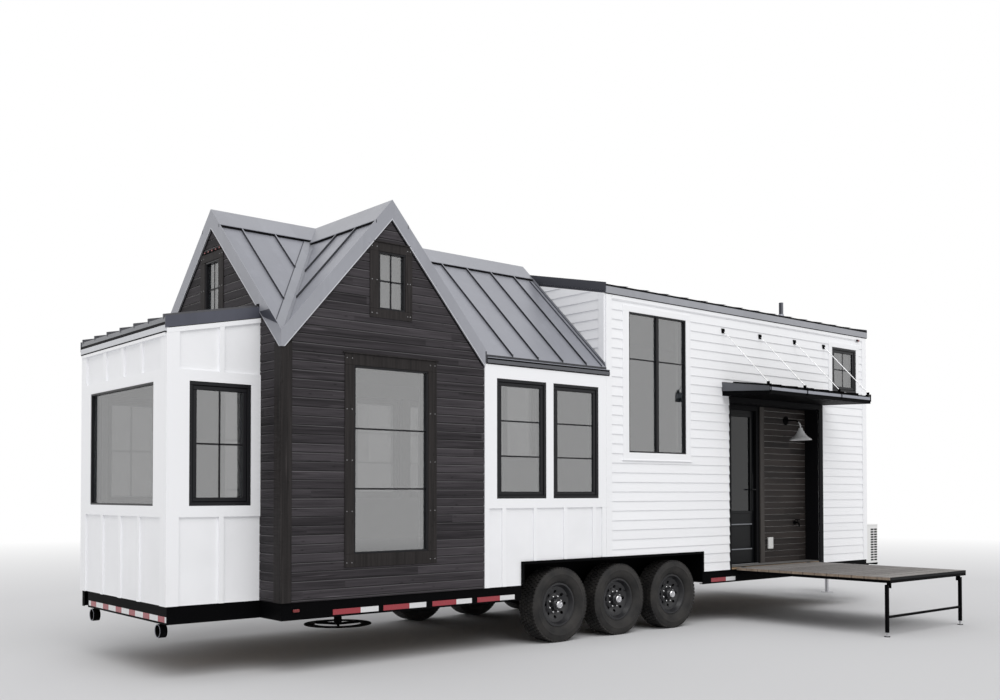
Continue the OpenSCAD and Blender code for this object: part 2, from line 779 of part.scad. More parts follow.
module barn_lamp() place() color(silver) translate([lamp_x, 0, 0]) {
    translate([0, recess_d, lamp_z]) rotate([90, 0, 0]) cylinder(h = 20, d = 110);
    // Gooseneck: out of the plate, over and down into the shade, with a collar at each joint
    translate([0, recess_d - 10, lamp_z]) rotate([90, 0, 0])
        cylinder(h = recess_d - 10 - shade_y - neck_r, d = neck_d);
    translate([0, shade_y + neck_r, lamp_z - neck_r]) rotate([90, 0, 90]) rotate(90)
        rotate_extrude(angle = 90) translate([neck_r, 0]) circle(d = neck_d);
    translate([0, shade_y + neck_r + 8, lamp_z]) rotate([90, 0, 0]) cylinder(h = 16, d = collar_d);
    translate([0, shade_y, stem_z]) cylinder(h = lamp_z - neck_r + 8 - stem_z, d = collar_d);
    translate([0, shade_y, shade_z]) rotate_extrude() polygon([[142, 0], [145, 4], [108, 55], [48, 90],
        [36, shade_h], [0, shade_h], [0, shade_h - 12], [28, shade_h - 12], [40, 84], [102, 50], [137, 0]]);
}

ac_x = [9070, 9370];
ac_y = [140, 920];
ac_z = [tongue_z, 1060];

module ac_unit() place() color(white_paint) difference() {
    block([ac_x[0], ac_y[0], ac_z[0]], [ac_x[1], ac_y[1], ac_z[1]]);
    // Fan opening towards the tongue and slots in the near side
    translate([ac_x[1] - 20, 480, 850]) rotate([0, 90, 0]) cylinder(h = 40, r = 190);
    for (i = [0 : 11], x = [ac_x[0] + 30, ac_x[0] + 165])
        block([x, ac_y[0] - eps, 660 + i * 30], [x + 105, ac_y[0] + 15, 672 + i * 30]);
}

/* Deck */

deck_hinge_y = -22;
deck_hinge_z = deck_z - 8;
hinge_pin_d = 14;
hinge_x = [deck_x + 150, deck_x + deck_w - 150];
deck_back = deck_hinge_y - 12;
deck_frame_h = 30;
board_t = 28;
board_w = 138;
board_gap = 5;
tube = 50;
deck_under = deck_z - board_t;
leg_y = -deck_d + 55;
deck_low = deck_under - deck_frame_h;
leg_pivot_z = deck_low - 36;
leg_pin_d = 14;
leg_pin_l = 42;
pin_clearance = 0.5;
ear_x = [deck_x + 70, deck_x + deck_w - 78];
ear_w = 8;
lug_offset = 45;
lug_w = 12;

// Lugs on the chassis with the pins that the deck turns on
module deck_hinges() place() color(black_steel) for (x = hinge_x) {
    for (side = [-1, 1]) along_y(x + side * lug_offset - lug_w / 2, lug_w)
        polygon([[0, chassis_z + 80], [0, base_z - 2], [deck_hinge_y - 12, deck_hinge_z + 8],
            [deck_hinge_y - 12, deck_hinge_z - 14], [-8, chassis_z + 80]]);
    translate([x - lug_offset - lug_w / 2, deck_hinge_y, deck_hinge_z]) rotate([0, 90, 0])
        cylinder(h = 2 * lug_offset + lug_w, d = hinge_pin_d);
}

deck_run = deck_d + deck_back;
joist_pitch = (deck_run - tube) / 4;

module deck_frame() place() color(black_steel) difference() {
    union() {
        difference() {
            block([deck_x, -deck_d, deck_low], [deck_x + deck_w, deck_back, deck_under]);
            for (i = [0 : 3]) block([deck_x + tube, -deck_d + tube + i * joist_pitch, deck_low - eps],
                [deck_x + deck_w - tube, -deck_d + (i + 1) * joist_pitch, deck_under + eps]);
            // Room for the lugs on the chassis
            for (x = hinge_x, side = [-1, 1])
                block([x + side * lug_offset - lug_w, deck_back - 14, 0],
                    [x + side * lug_offset + lug_w, 0, deck_under + eps]);
        }
        // Knuckles between the lugs
        for (x = hinge_x) {
            translate([x - 30, deck_hinge_y, deck_hinge_z]) rotate([0, 90, 0]) cylinder(h = 60, d = 24);
            along_y(x - 30, 60) polygon([[deck_back - 1, deck_under - 20], [deck_back - 1, deck_under],
                [deck_hinge_y - 8, deck_hinge_z + 8], [deck_hinge_y + 8, deck_hinge_z - 8]]);
        }
        // Ears that carry the leg frame
        for (x = ear_x) block([x, leg_y - 25, leg_pivot_z - 22], [x + ear_w, leg_y + 25, deck_low + 5]);
    }
    translate([deck_x, deck_hinge_y, deck_hinge_z]) rotate([0, 90, 0])
        cylinder(h = deck_w, d = hinge_pin_d + 2 * pin_clearance);
    translate([deck_x, leg_y, leg_pivot_z]) rotate([0, 90, 0])
        cylinder(h = deck_w, d = leg_pin_d + 2 * pin_clearance);
}

board_count = floor(deck_run / (board_w + board_gap));
board_pitch = (deck_run + board_gap) / board_count;

module deck_boards() place() color(deck_wood) difference() {
    for (i = [0 : board_count - 1]) block([deck_x, -deck_d + i * board_pitch, deck_under],
        [deck_x + deck_w, -deck_d + (i + 1) * board_pitch - board_gap, deck_z]);
    // The last board is notched round the hinges
    for (x = hinge_x) block([x - 60, deck_back - 20, deck_under - eps], [x + 60, 0, deck_z + eps]);
}

foot_h = 45;
leg_t = 32;
leg_x = [deck_x + 15, deck_x + deck_w - 15 - leg_t];
leg_bar_z = [192, 216];

module deck_legs() place() color(black_steel) {
    for (x = leg_x) {
        block([x, leg_y - leg_t / 2, foot_h], [x + leg_t, leg_y + leg_t / 2, leg_pivot_z + 15]);
        translate([x + leg_t / 2, leg_y, 0]) cylinder(h = 8, d = 60);
        translate([x + leg_t / 2, leg_y, 0]) cylinder(h = foot_h + 5, d = 16);
    }
    // Pins from the legs through the ears
    for (x = [leg_x[0] + leg_t - 5, leg_x[1] + 5 - leg_pin_l]) translate([x, leg_y, leg_pivot_z])
        rotate([0, 90, 0]) cylinder(h = leg_pin_l, d = leg_pin_d);
    block([leg_x[0] + 5, leg_y - 12, leg_bar_z[0]], [leg_x[1] + leg_t - 5, leg_y + 12, leg_bar_z[1]]);
}

/* Wheels */

tyre_half = tyre_w / 2;
bead_r = rim_d / 2 + 0.3;
flange_r = rim_d / 2 + 16;

// Half of the tyre's cross-section, mirrored about its middle plane
tyre_side = [[bead_r, 71.5], [flange_r + 2, 71.5], [flange_r + 7, 84], [flange_r + 42, 111],
    [flange_r + 86, tyre_half], [wheel_r - 30, 110], [wheel_r - 8, 96], [wheel_r, 80]];

module tyre(x, y) place() color(rubber_black) translate([x, y + tyre_half, wheel_r]) rotate([90, 0, 0])
    rotate_extrude($fn = 64) polygon(concat(tyre_side, [for (i = [len(tyre_side) - 1 : -1 : 0])
        [tyre_side[i][0], -tyre_side[i][1]]]));

hole_ring = 128;

// The dish of the rim faces +Z before it is turned to its side
module rim_shape() difference() {
    rotate_extrude() union() {
        polygon([[0, 30], [58, 30], [66, 8], [100, 2], [150, 20], [185, 26], [185, 38], [150, 34], [100, 14],
            [70, 20], [62, 42], [58, 62], [42, 62], [42, 92], [0, 92]]);
        polygon([[rim_d / 2 - 10, -64], [rim_d / 2 - 2, -79], [flange_r, -79], [flange_r, -72],
            [rim_d / 2, -71.6], [rim_d / 2, -50], [184, -30], [184, 30], [rim_d / 2, 50], [rim_d / 2, 71.6],
            [flange_r, 72], [flange_r, 79], [rim_d / 2 - 2, 79], [rim_d / 2 - 10, 64],
            [178, 36], [178, -36]]);
    }
    for (i = [0 : 7]) rotate(i * 45) translate([hole_ring, 0, -10]) cylinder(h = 60, d = 34);
}

module rim(x, y, side) place() color(black_steel) translate([x, y + tyre_half, wheel_r])
    rotate([side * 90, 0, 0]) rim_shape();

function wheel_x(i) = axle_x + i * axle_pitch;

module tyre_near_rear() tyre(wheel_x(0), near_wheel_y);
module tyre_near_middle() tyre(wheel_x(1), near_wheel_y);
module tyre_near_front() tyre(wheel_x(2), near_wheel_y);
module tyre_far_rear() tyre(wheel_x(0), far_wheel_y);
module tyre_far_middle() tyre(wheel_x(1), far_wheel_y);
module tyre_far_front() tyre(wheel_x(2), far_wheel_y);
module rim_near_rear() rim(wheel_x(0), near_wheel_y, 1);
module rim_near_middle() rim(wheel_x(1), near_wheel_y, 1);
module rim_near_front() rim(wheel_x(2), near_wheel_y, 1);
module rim_far_rear() rim(wheel_x(0), far_wheel_y, -1);
module rim_far_middle() rim(wheel_x(1), far_wheel_y, -1);
module rim_far_front() rim(wheel_x(2), far_wheel_y, -1);

chassis_rails();
cross_members();
side_channels();
tongue();
coupler();
tongue_jack();
jack_leg();
axles();
wheel_wells();
tail_lights();
floor();
near_gable_wall();
near_low_wall();
near_tall_wall();
near_header_wall();
near_front_wall();
recess_returns();
recess_wall();
door_frame();
far_gable_wall();
far_low_wall();
far_tall_wall();
front_wall();
rear_gable_wall();
rear_wall_sides();
tall_end_walls();
bay_side_walls();
bay_end_wall();
cross_gable_roof();
tall_roof();
bay_roof();
roof_trim();
window_frames();
window_glass();
awning();
awning_stays();
barn_lamp();
ac_unit();
entry_door();
door_glass();
door_handle();
deck_hinges();
deck_frame();
deck_boards();
deck_legs();
tyre_near_rear();
rim_near_rear();
tyre_near_middle();
rim_near_middle();
tyre_near_front();
rim_near_front();
tyre_far_rear();
rim_far_rear();
tyre_far_middle();
rim_far_middle();
tyre_far_front();
rim_far_front();
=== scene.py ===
"""Looks of a tiny house on a triple-axle trailer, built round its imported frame.

Every piece is modelled in metres from the rear near corner of the house: x runs along the house towards
the tongue, y runs from the entry side to the far side, and z is the height over the ground.
"""

from __future__ import annotations

import logging
import math
from dataclasses import dataclass, replace
from enum import Enum
from functools import partialmethod
from typing import ClassVar, Iterable, Sequence

import bmesh
import bpy
from mathutils import Matrix, Vector


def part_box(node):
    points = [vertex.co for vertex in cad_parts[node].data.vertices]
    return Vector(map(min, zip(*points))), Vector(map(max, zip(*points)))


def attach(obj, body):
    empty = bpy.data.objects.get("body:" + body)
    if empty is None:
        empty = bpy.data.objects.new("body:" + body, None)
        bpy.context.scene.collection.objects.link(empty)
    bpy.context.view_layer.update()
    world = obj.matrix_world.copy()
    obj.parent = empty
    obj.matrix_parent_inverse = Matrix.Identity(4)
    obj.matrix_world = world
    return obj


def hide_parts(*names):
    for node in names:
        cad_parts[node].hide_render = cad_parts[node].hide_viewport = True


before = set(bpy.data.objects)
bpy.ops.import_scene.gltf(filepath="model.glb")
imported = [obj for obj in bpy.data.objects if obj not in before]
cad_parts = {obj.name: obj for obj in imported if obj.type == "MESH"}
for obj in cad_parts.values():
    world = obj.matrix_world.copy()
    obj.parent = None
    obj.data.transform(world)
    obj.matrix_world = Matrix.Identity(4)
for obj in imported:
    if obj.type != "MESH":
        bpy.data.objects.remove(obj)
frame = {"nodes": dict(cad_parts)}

LOG = logging.getLogger("tiny_house")
Colour = tuple[float, float, float]
Point = Sequence[float]
Pair = tuple[float, float]
TINY = 0.0015
EASED = 0.002
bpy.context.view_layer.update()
ORIGIN = Vector((*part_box("near_gable_wall")[0].xy, 0.0))


def span(node: str) -> tuple[Vector, Vector]:
    """Finds where a CAD node is.

    Args:
        node: Name of the node.

    Returns:
        Its lowest and highest corners, from the rear near corner of the house.
    """
    low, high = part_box(node)
    return low - ORIGIN, high - ORIGIN


class Axis(Enum):
    """The two level axes of the house."""

    X = 0
    Y = 1

    def point(self, along: float, across: float, z: float) -> Vector:
        """The point at a distance along this axis, at one across it and at a height."""
        return Vector((along, across, z)) if self is Axis.X else Vector((across, along, z))


class Grain(Enum):
    """Direction in which a board's grain runs, as the scale of a pattern along x, y and z."""

    X = (1.6, 55.0, 55.0)
    Y = (55.0, 1.6, 55.0)
    Z = (55.0, 55.0, 1.6)

    @property
    def axis(self) -> int:
        """Number of the axis that the grain runs along."""
        return self.value.index(min(self.value))

    def scaled(self, share: float) -> list[float]:
        """The scale of a pattern that is finer or coarser than the grain by a share."""
        return [part * share for part in self.value]


class Socket:
    """One value in a node tree, used as a number in Python expressions."""

    def __init__(self, graph: Graph, link: bpy.types.NodeSocket) -> None:
        """Wraps an output socket of a node."""
        self.graph = graph
        self.link = link

    def math(self, operation: str, *others: Socket | float) -> Socket:
        """Adds a Math node.

        Args:
            operation: Name of the node's operation.
            others: Further values that the operation takes.

        Returns:
            The result.
        """
        return self.graph.node("ShaderNodeMath", dict(enumerate((self, *others))), {"operation": operation})

    def __rsub__(self, other: float) -> Socket:
        """Is taken away from a number."""
        return self.graph.node("ShaderNodeMath", {0: other, 1: self}, {"operation": "SUBTRACT"})

    __add__ = partialmethod(math, "ADD")
    __mul__ = partialmethod(math, "MULTIPLY")
    __sub__ = partialmethod(math, "SUBTRACT")
    __gt__ = partialmethod(math, "GREATER_THAN")
    __lt__ = partialmethod(math, "LESS_THAN")
    floor = partialmethod(math, "FLOOR")
    fraction = partialmethod(math, "FRACT")
    size = partialmethod(math, "ABSOLUTE")
    either = partialmethod(math, "MAXIMUM")


class Graph:
    """A node tree that is written as expressions."""

    def __init__(self, tree: bpy.types.NodeTree) -> None:
        """Empties a tree and starts on it."""
        self.tree = tree
        tree.nodes.clear()
        self.place = self.node("ShaderNodeTexCoord", output="Object")
        self.facing = self.node("ShaderNodeTexCoord", output="Normal")

    def node(self, kind: str, inputs: dict | None = None, settings: dict | None = None,
             output: str | int = 0) -> Socket:
        """Adds any node.

        Args:
            kind: The node's type.
            inputs: Values or sockets for its inputs, by identifier, name or index.
            settings: Its properties, such as a Math node's operation.
            output: Identifier, name or index of the output that is wanted.

        Returns:
            That output.
        """
        made = self.tree.nodes.new(kind)
        for name, value in (settings or {}).items():
            setattr(made, name, value)
        for name, value in (inputs or {}).items():
            socket = self.pick(made.inputs, name)
            if isinstance(value, Socket):
                self.tree.links.new(value.link, socket)
            elif isinstance(value, tuple) and len(value) == 3 and socket.type == "RGBA":
                socket.default_value = (*value, 1.0)
            else:
                socket.default_value = value
        return Socket(self, self.pick(made.outputs, output))

    @staticmethod
    def pick(sockets: Iterable[bpy.types.NodeSocket], key: str | int) -> bpy.types.NodeSocket:
        """Finds a socket by identifier, name or index."""
        if isinstance(key, int):
            return sockets[key]
        return next((s for s in sockets if s.identifier == key), None) or sockets[key]

    def axis(self, index: int, of: Socket | None = None) -> Socket:
        """Takes x, y or z of the place, or of another vector."""
        return self.node("ShaderNodeSeparateXYZ", {0: of or self.place}, output=index)

    def stretched(self, scale: Point) -> Socket:
        """Scales the place along the axes."""
        return self.node("ShaderNodeMapping", {"Vector": self.place, "Scale": tuple(scale)})

    def noise(self, scale: float | Point, detail: float = 3.0, seed: Socket | float = 0.0) -> Socket:
        """Makes a cloudy pattern.

        Args:
            scale: Features per metre, the same all ways or along each axis.
            detail: How many finer layers it has.
            seed: Value that shifts the pattern, such as the number of a board.

        Returns:
            The pattern, from 0 to 1.
        """
        scale = (scale,) * 3 if isinstance(scale, (int, float)) else scale
        return self.node("ShaderNodeTexNoise", {"Vector": self.stretched(scale), "W": seed, "Scale": 1.0,
                                                "Detail": detail}, {"noise_dimensions": "4D"})

    def chance(self, value: Socket) -> Socket:
        """Gives each whole number its own value from 0 to 1."""
        return self.node("ShaderNodeTexWhiteNoise", {"W": value}, {"noise_dimensions": "1D"})

    def mix(self, share: Socket | float, first: Socket | Colour, second: Socket | Colour) -> Socket:
        """Blends two colours."""
        return self.node("ShaderNodeMix", {"Factor_Float": share, "A_Color": first, "B_Color": second},
                         {"data_type": "RGBA"}, "Result_Color")

    def between(self, value: Socket, low: float, high: float) -> Socket:
        """Maps a value to 0 at low and 1 at high, and holds it there."""
        return self.node("ShaderNodeMapRange", {"Value": value, "From Min": low, "From Max": high})

    def cells(self, scale: Point) -> Socket:
        """Makes a pattern of cells, as the distance from the nearest cell's middle."""
        return self.node("ShaderNodeTexVoronoi", {"Vector": self.stretched(scale), "Scale": 1.0},
                         output="Distance")

    def bump(self, height: Socket, distance: float) -> Socket:
        """Turns a height from 0 to 1 into relief of the given depth."""
        return self.node("ShaderNodeBump", {"Height": height, "Distance": distance, "Strength": 1.0})

    def surface(self, **sockets: Socket | Colour | float) -> None:
        """Ends a material with its shader.

        Args:
            sockets: Inputs of the shader, with spaces written as low lines.
        """
        inputs = {name.replace("_", " "): value for name, value in sockets.items()}
        self.end(self.node("ShaderNodeBsdfPrincipled", inputs))

    def end(self, shader: Socket) -> None:
        """Links a shader to the output."""
        output = self.tree.nodes.new("ShaderNodeOutputMaterial")
        self.tree.links.new(shader.link, output.inputs["Surface"])


def shade(colour: Colour, share: float) -> Colour:
    """Makes a colour lighter or darker by a share."""
    return tuple(min(1.0, part * share) for part in colour)


@dataclass(frozen=True)
class Finish:
    """What one surface is made of: its name, and the record's slot that it takes."""

    name: str
    slot: str

    def material(self) -> bpy.types.Material:
        """Builds the material once and hands it out again after that."""
        made = bpy.data.materials.get(self.name)
        if made is None:
            made = bpy.data.materials.new(self.name)
            made.use_nodes = True
            self.dress(Graph(made.node_tree))
        return made

    def dress(self, graph: Graph) -> None:
        """Writes the nodes; each kind of finish has its own."""
        raise NotImplementedError


@dataclass(frozen=True)
class Paint(Finish):
    """Paint, powder coat or moulded plastic, with a slight unevenness and dust."""

    colour: Colour
    roughness: float = 0.45
    gloss: float = 0.4
    relief: float = 0.0002
    dust: float = 0.0
    dust_colour: ClassVar[Colour] = (0.20, 0.195, 0.19)

    def dress(self, graph: Graph) -> None:
        """Mottles the colour a little and lays dust on what faces up."""
        mottle = graph.noise(3.1, 4.0)
        colour = graph.mix(mottle, shade(self.colour, 0.88), shade(self.colour, 1.12))
        if self.dust:
            up = graph.between(graph.axis(2, graph.facing), 0.3, 1.0) * self.dust
            colour = graph.mix(up * mottle * 1.4, colour, self.dust_colour)
        graph.surface(Base_Color=colour, Roughness=mottle * 0.12 + (self.roughness - 0.06),
                      Specular_IOR_Level=self.gloss, Normal=graph.bump(graph.noise(260.0, 1.0), self.relief))


@dataclass(frozen=True)
class SlidePaint(Paint):
    """Black paint down to a height, and bare zinc on the foot below it."""

    height: float = 0.0
    zinc: ClassVar[Colour] = (0.50, 0.50, 0.52)

    def dress(self, graph: Graph) -> None:
        """Changes from paint to metal at the height."""
        bare = graph.axis(2) < self.height
        wear = graph.noise(40.0, 4.0)
        graph.surface(Base_Color=graph.mix(bare, self.colour, self.zinc), Metallic=bare,
                      Roughness=wear * 0.2 + 0.3, Specular_IOR_Level=self.gloss,
                      Normal=graph.bump(wear, self.relief))


@dataclass(frozen=True)
class Boards(Finish):
    """Wooden boards with a tone of their own, grain, knots, and a painted highlight with dust along each
    board's upper edge.
    """

    colour: Colour
    light: Colour
    across: int
    first: float
    pitch: float
    grain: Grain
    board: float = 2.4
    roughness: float = 0.62
    gloss: float = 0.2
    # Strength of the painted highlight, with dust, on each board's upper edge.
    lip: float = 0.0
    knots: float = 0.5
    # Colour for faces that look across the boards: painted shade on their sides in the gaps.
    edge: Colour | None = None
    # Colour of the painted highlight and dust on the boards' upper edges.
    edge_highlight_colour: ClassVar[Colour] = (0.30, 0.29, 0.30)

    def dress(self, graph: Graph) -> None:
        """Numbers the boards, tones each one, draws its grain and paints a highlight, with dust, on its upper
        edge.
        """
        row = (graph.axis(self.across) - self.first) * (1 / self.pitch)
        number = row.floor()
        along = graph.axis(self.grain.axis)
        piece = (along * (1 / self.board) + graph.chance(number) * 5.0).floor()
        tone = graph.chance(number * 17.0 + piece * 3.0)
        grain = graph.noise(self.grain.value, 5.0, tone * 9.0)
        streak = graph.noise(self.grain.scaled(2.6), 3.0, tone * 5.0)
        veins = graph.between(grain, 0.34, 0.66)
        colour = graph.mix(tone * 0.5 + veins * 0.5, self.colour, self.light)
        speck = graph.between(graph.noise(self.grain.scaled(0.9), 2.0, tone * 3.0), 0.66, 0.76)
        colour = graph.mix(speck * 0.5, colour, shade(self.light, 2.2))
        colour = graph.mix(graph.between(streak, 0.52, 0.75) * 0.5, colour, shade(self.colour, 0.55))
        spots = graph.cells([6.0 if part < 10 else 15.0 for part in self.grain.value])
        knot = graph.between(spots, 0.14, 0.05) * self.knots
        colour = graph.mix(knot, colour, shade(self.colour, 0.4))
        # Painted shade: faces that look across the boards, their sides in the gaps, are darkened to near
        # black.
        if self.edge:
            colour = graph.mix(graph.axis(self.across, graph.facing).size() > 0.9, colour, self.edge)
        # Painted highlight with dust: a band at the top of each board is paled in patches, as light caught by
        # the edge.
        if self.lip:
            edge = graph.between(row.fraction(), 0.80, 0.89)
            patch = graph.between(graph.noise(self.grain.scaled(0.5), 2.0), 0.30, 0.62)
            colour = graph.mix(edge * (patch * 0.75 + 0.25) * self.lip, colour, self.edge_highlight_colour)
        graph.surface(Base_Color=colour, Roughness=grain * 0.15 + (self.roughness - 0.07),
                      Specular_IOR_Level=self.gloss, Normal=graph.bump(grain * 0.7 + streak * 0.3, 0.0012))


@dataclass(frozen=True)
class PaintedBoards(Finish):
    """White painted boards: faint grain under the paint and a faint tone for each board."""

    colour: Colour
    first: float = 0.6
    pitch: float = 0.1016
    grain: Grain = Grain.X
    splash_colour: ClassVar[Colour] = (0.55, 0.53, 0.50)

    def dress(self, graph: Graph) -> None:
        """Tints each board by a few per cent and presses the grain through the paint."""
        number = ((graph.axis(2) - self.first) * (1 / self.pitch)).floor()
        tone = graph.chance(number)
        cloud = graph.noise(0.9, 3.0)
        grain = graph.noise(self.grain.value, 4.0, tone * 8.0)
        colour = graph.mix(tone * 0.5 + cloud * 0.5, shade(self.colour, 0.965), shade(self.colour, 1.03))
        splash = graph.between(graph.axis(2), 1.1, 0.55) * graph.between(graph.noise(2.2, 4.0), 0.4, 0.75)
        colour = graph.mix(splash * 0.18, colour, self.splash_colour)
        graph.surface(Base_Color=colour, Roughness=grain * 0.1 + 0.42, Normal=graph.bump(grain, 0.0005))


@dataclass(frozen=True)
class SheetMetal(Finish):
    """Coated roofing sheet with faint waves, painted light and shade on its upright folds, and a colour of
    its own on what faces down: the inner ceiling under a roof, painted shade under a flashing.
    """

    colour: Colour
    # Set colours for upright faces that look along x and along y: painted light and shade.
    upright_lighting_x: Colour | None = None
    upright_lighting_y: Colour | None = None
    # Colour of what faces down: the inner ceiling by default; the darker colours given to flashings and
    # fascias are painted shade under them.
    ceiling_and_under_shade: Colour = (0.50, 0.49, 0.47)
    along: int = 0
    pan: float = 0.335
    roughness: float = 0.36
    metallic: float = 0.3

    def dress(self, graph: Graph) -> None:
        """Tones each pan, waves it slightly, paints light and shade on the upright folds and gives what faces
        down its own colour, which under flashings is painted shade.
        """
        pan = graph.chance((graph.axis(self.along) * (1 / self.pan)).floor())
        cloud = graph.noise(1.9, 5.0)
        scuff = graph.noise((9.0, 9.0, 2.0), 5.0)
        colour = graph.mix(cloud * 0.75 + pan * 0.25, shade(self.colour, 0.86), shade(self.colour, 1.14))
        colour = graph.mix(graph.between(scuff, 0.55, 0.8) * 0.25, colour, shade(self.colour, 1.5))
        # Painted light and shade: upright faces take a set colour by the way they face, darker or lighter
        # than the pan.
        if self.upright_lighting_x and self.upright_lighting_y:
            upright = graph.axis(2, graph.facing).size() < 0.1
            ends = graph.axis(0, graph.facing).size() > 0.7
            colour = graph.mix(upright, colour, graph.mix(ends, self.upright_lighting_y, self.upright_lighting_x))
        # What faces down takes its own colour; under flashings and fascias that colour is painted shade.
        under = graph.axis(2, graph.facing) < -0.25
        colour = graph.mix(under, colour, self.ceiling_and_under_shade)
        graph.surface(Base_Color=colour, Roughness=scuff * 0.18 + (self.roughness - 0.09),
                      Metallic=(1.0 - under) * self.metallic, Specular_IOR_Level=0.4,
                      Normal=graph.bump(graph.noise(2.4, 1.0), 0.006))


@dataclass(frozen=True)
class WallCore(Finish):
    """The body of a wall: its outer colour outside, and a grey lining on its inner side, darker than a light
    inner wall as painted shade for the dim inside.
    """

    colour: Colour
    # Grey lining, darker than the light inner walls, as painted shade for the dim inside.
    lining: Colour = (0.42, 0.41, 0.40)
    depth: float = 0.05

    def dress(self, graph: Graph) -> None:
        """Tells the inner side by its place in the plan."""
        x, y = graph.axis(0), graph.axis(1)
        inside = None
        for low, high in SHELL.rooms(self.depth):
            room = (x > low[0]) * (x < high[0]) * (y > low[1]) * (y < high[1])
            inside = room if inside is None else inside.either(room)
        mottle = graph.noise(2.3, 3.0)
        outer = graph.mix(mottle, shade(self.colour, 0.93), shade(self.colour, 1.07))
        colour = graph.mix(inside, outer, self.lining)
        graph.surface(Base_Color=colour, Roughness=0.6, Normal=graph.bump(graph.noise(120.0, 2.0), 0.0003))


@dataclass(frozen=True)
class Glazing(Finish):
    """Tinted, coated window glass that mirrors what is round it and lets the rest through."""

    colour: Colour
    cover: float
    index: float

    def dress(self, graph: Graph) -> None:
        """Bends the mirror image a little, as pressed double panes do."""
        graph.surface(Base_Color=self.colour, Roughness=0.02, IOR=self.index, Alpha=self.cover,
                      Normal=graph.bump(graph.noise(1.1, 0.0), 0.004))


@dataclass(frozen=True)
class Rubber(Finish):
    """Tyre rubber, dusty where it is rough."""

    colour: Colour
    dust_colour: ClassVar[Colour] = (0.060, 0.055, 0.050)

    def dress(self, graph: Graph) -> None:
        """Greys the rubber in patches."""
        dust = graph.noise(7.0, 6.0)
        grain = graph.noise(420.0, 2.0)
        colour = graph.mix(graph.between(dust, 0.35, 0.75) * 0.5, self.colour, self.dust_colour)
        graph.surface(Base_Color=colour, Roughness=dust * 0.2 + 0.56, Specular_IOR_Level=0.35,
                      Normal=graph.bump(grain, 0.0004))


@dataclass(frozen=True)
class Bright(Finish):
    """Plated or polished metal."""

    colour: Colour
    roughness: float

    def dress(self, graph: Graph) -> None:
        """Varies the polish."""
        wear = graph.noise(40.0, 4.0)
        colour = graph.mix(wear, shade(self.colour, 0.8), shade(self.colour, 1.1))
        graph.surface(Base_Color=colour, Metallic=1.0, Roughness=wear * 0.2 + (self.roughness - 0.1),
                      Normal=graph.bump(wear, 0.0002))


@dataclass(frozen=True)
class Lens(Finish):
    """Ribbed plastic lens or reflective tape with a fine cell pattern."""

    colour: Colour
    cell: float = 0.004

    def dress(self, graph: Graph) -> None:
        """Breaks the surface into small cells."""
        cells = graph.cells((1 / self.cell,) * 3)
        colour = graph.mix(cells, shade(self.colour, 1.15), shade(self.colour, 0.75))
        graph.surface(Base_Color=colour, Roughness=cells * 0.15 + 0.22, Coat_Weight=0.5,
                      Normal=graph.bump(cells, 0.0006))


@dataclass(frozen=True)
class Ridge:
    """A roof with two slopes: the axis across it, its ridge's place and height, and its fall per metre."""

    across: Axis
    mid: float
    top: float
    fall: float

    def height(self, at: float) -> float:
        """Height of the panels at a place across the ridge."""
        return self.top - abs(at - self.mid) * self.fall

    def trim(self, form: Form, gap: float) -> None:
        """Cuts a piece off under both slopes, a gap below the roof's slab."""
        for side in (-1, 1):
            form.clip(self.across.point(self.mid, 0, self.top - SHELL.slab - gap),
                      self.across.point(side * self.fall, 0, 1))


@dataclass(frozen=True)
class Shell:
    """Main sizes of the house, read from the frame, the middles of its gables and its three roofs."""

    length: float = span("front_wall")[1].x
    width: float = span("far_gable_wall")[1].y
    base: float = span("near_gable_wall")[0].z
    gable_end: float = span("near_gable_wall")[1].x
    tall_start: float = span("near_tall_wall")[0].x
    recess_start: float = span("near_tall_wall")[1].x
    recess_end: float = span("near_front_wall")[0].x
    recess_depth: float = span("recess_wall")[0].y
    recess_head: float = span("recess_wall")[1].z
    bay_end: float = span("bay_end_wall")[0].x
    bay_near: float = span("bay_side_walls")[0].y
    bay_far: float = span("bay_side_walls")[1].y
    skirt_low: float = span("side_channels")[0].z
    well_start: float = span("wheel_wells")[0].x
    well_end: float = span("wheel_wells")[1].x
    well_top: float = span("wheel_wells")[1].z
    ridge: float = 4.06
    eave: float = 2.835
    tall_ridge: float = 3.97
    tall_eave: float = 3.685
    bay_top: float = 3.07
    bay_pitch: float = 0.2
    bay_reach: float = 0.3
    slab: float = 0.08
    rake_rise: float = 0.03
    rake_height: float = 0.16
    mid_x: float = gable_end / 2
    mid_y: float = width / 2
    main: Ridge = Ridge(Axis.Y, mid_y, ridge, (ridge - eave) / mid_y)
    cross: Ridge = Ridge(Axis.X, mid_x, ridge, (ridge - eave) / mid_x)
    tall: Ridge = Ridge(Axis.Y, mid_y, tall_ridge, (tall_ridge - tall_eave) / mid_y)

    def bay_height(self, x: float) -> float:
        """Height of the bay roof's panels at x."""
        return self.bay_top + x * self.bay_pitch

    def rooms(self, depth: float) -> list[tuple[Vector, Vector]]:
        """Plan corners of the rooms and the bay, set in from the outer faces, in the row frame."""
        inner = Vector((depth, depth, 0))
        main = (Vector((0, 0, 0)) + inner, Vector((self.length, self.width, 0)) - inner)
        bay = (Vector((self.bay_end, self.bay_near, 0)) + inner,
               Vector((self.bay_reach, self.bay_far, 0)) - inner)
        return [(low + ORIGIN, high + ORIGIN) for low, high in (main, bay)]


SHELL = Shell()
BOARD_PITCH = 0.0762
LAP_PITCH = 0.1016
BOARD_LINE = 0.6228
DECK_ROWS = 13
DECK_GAP = 0.005

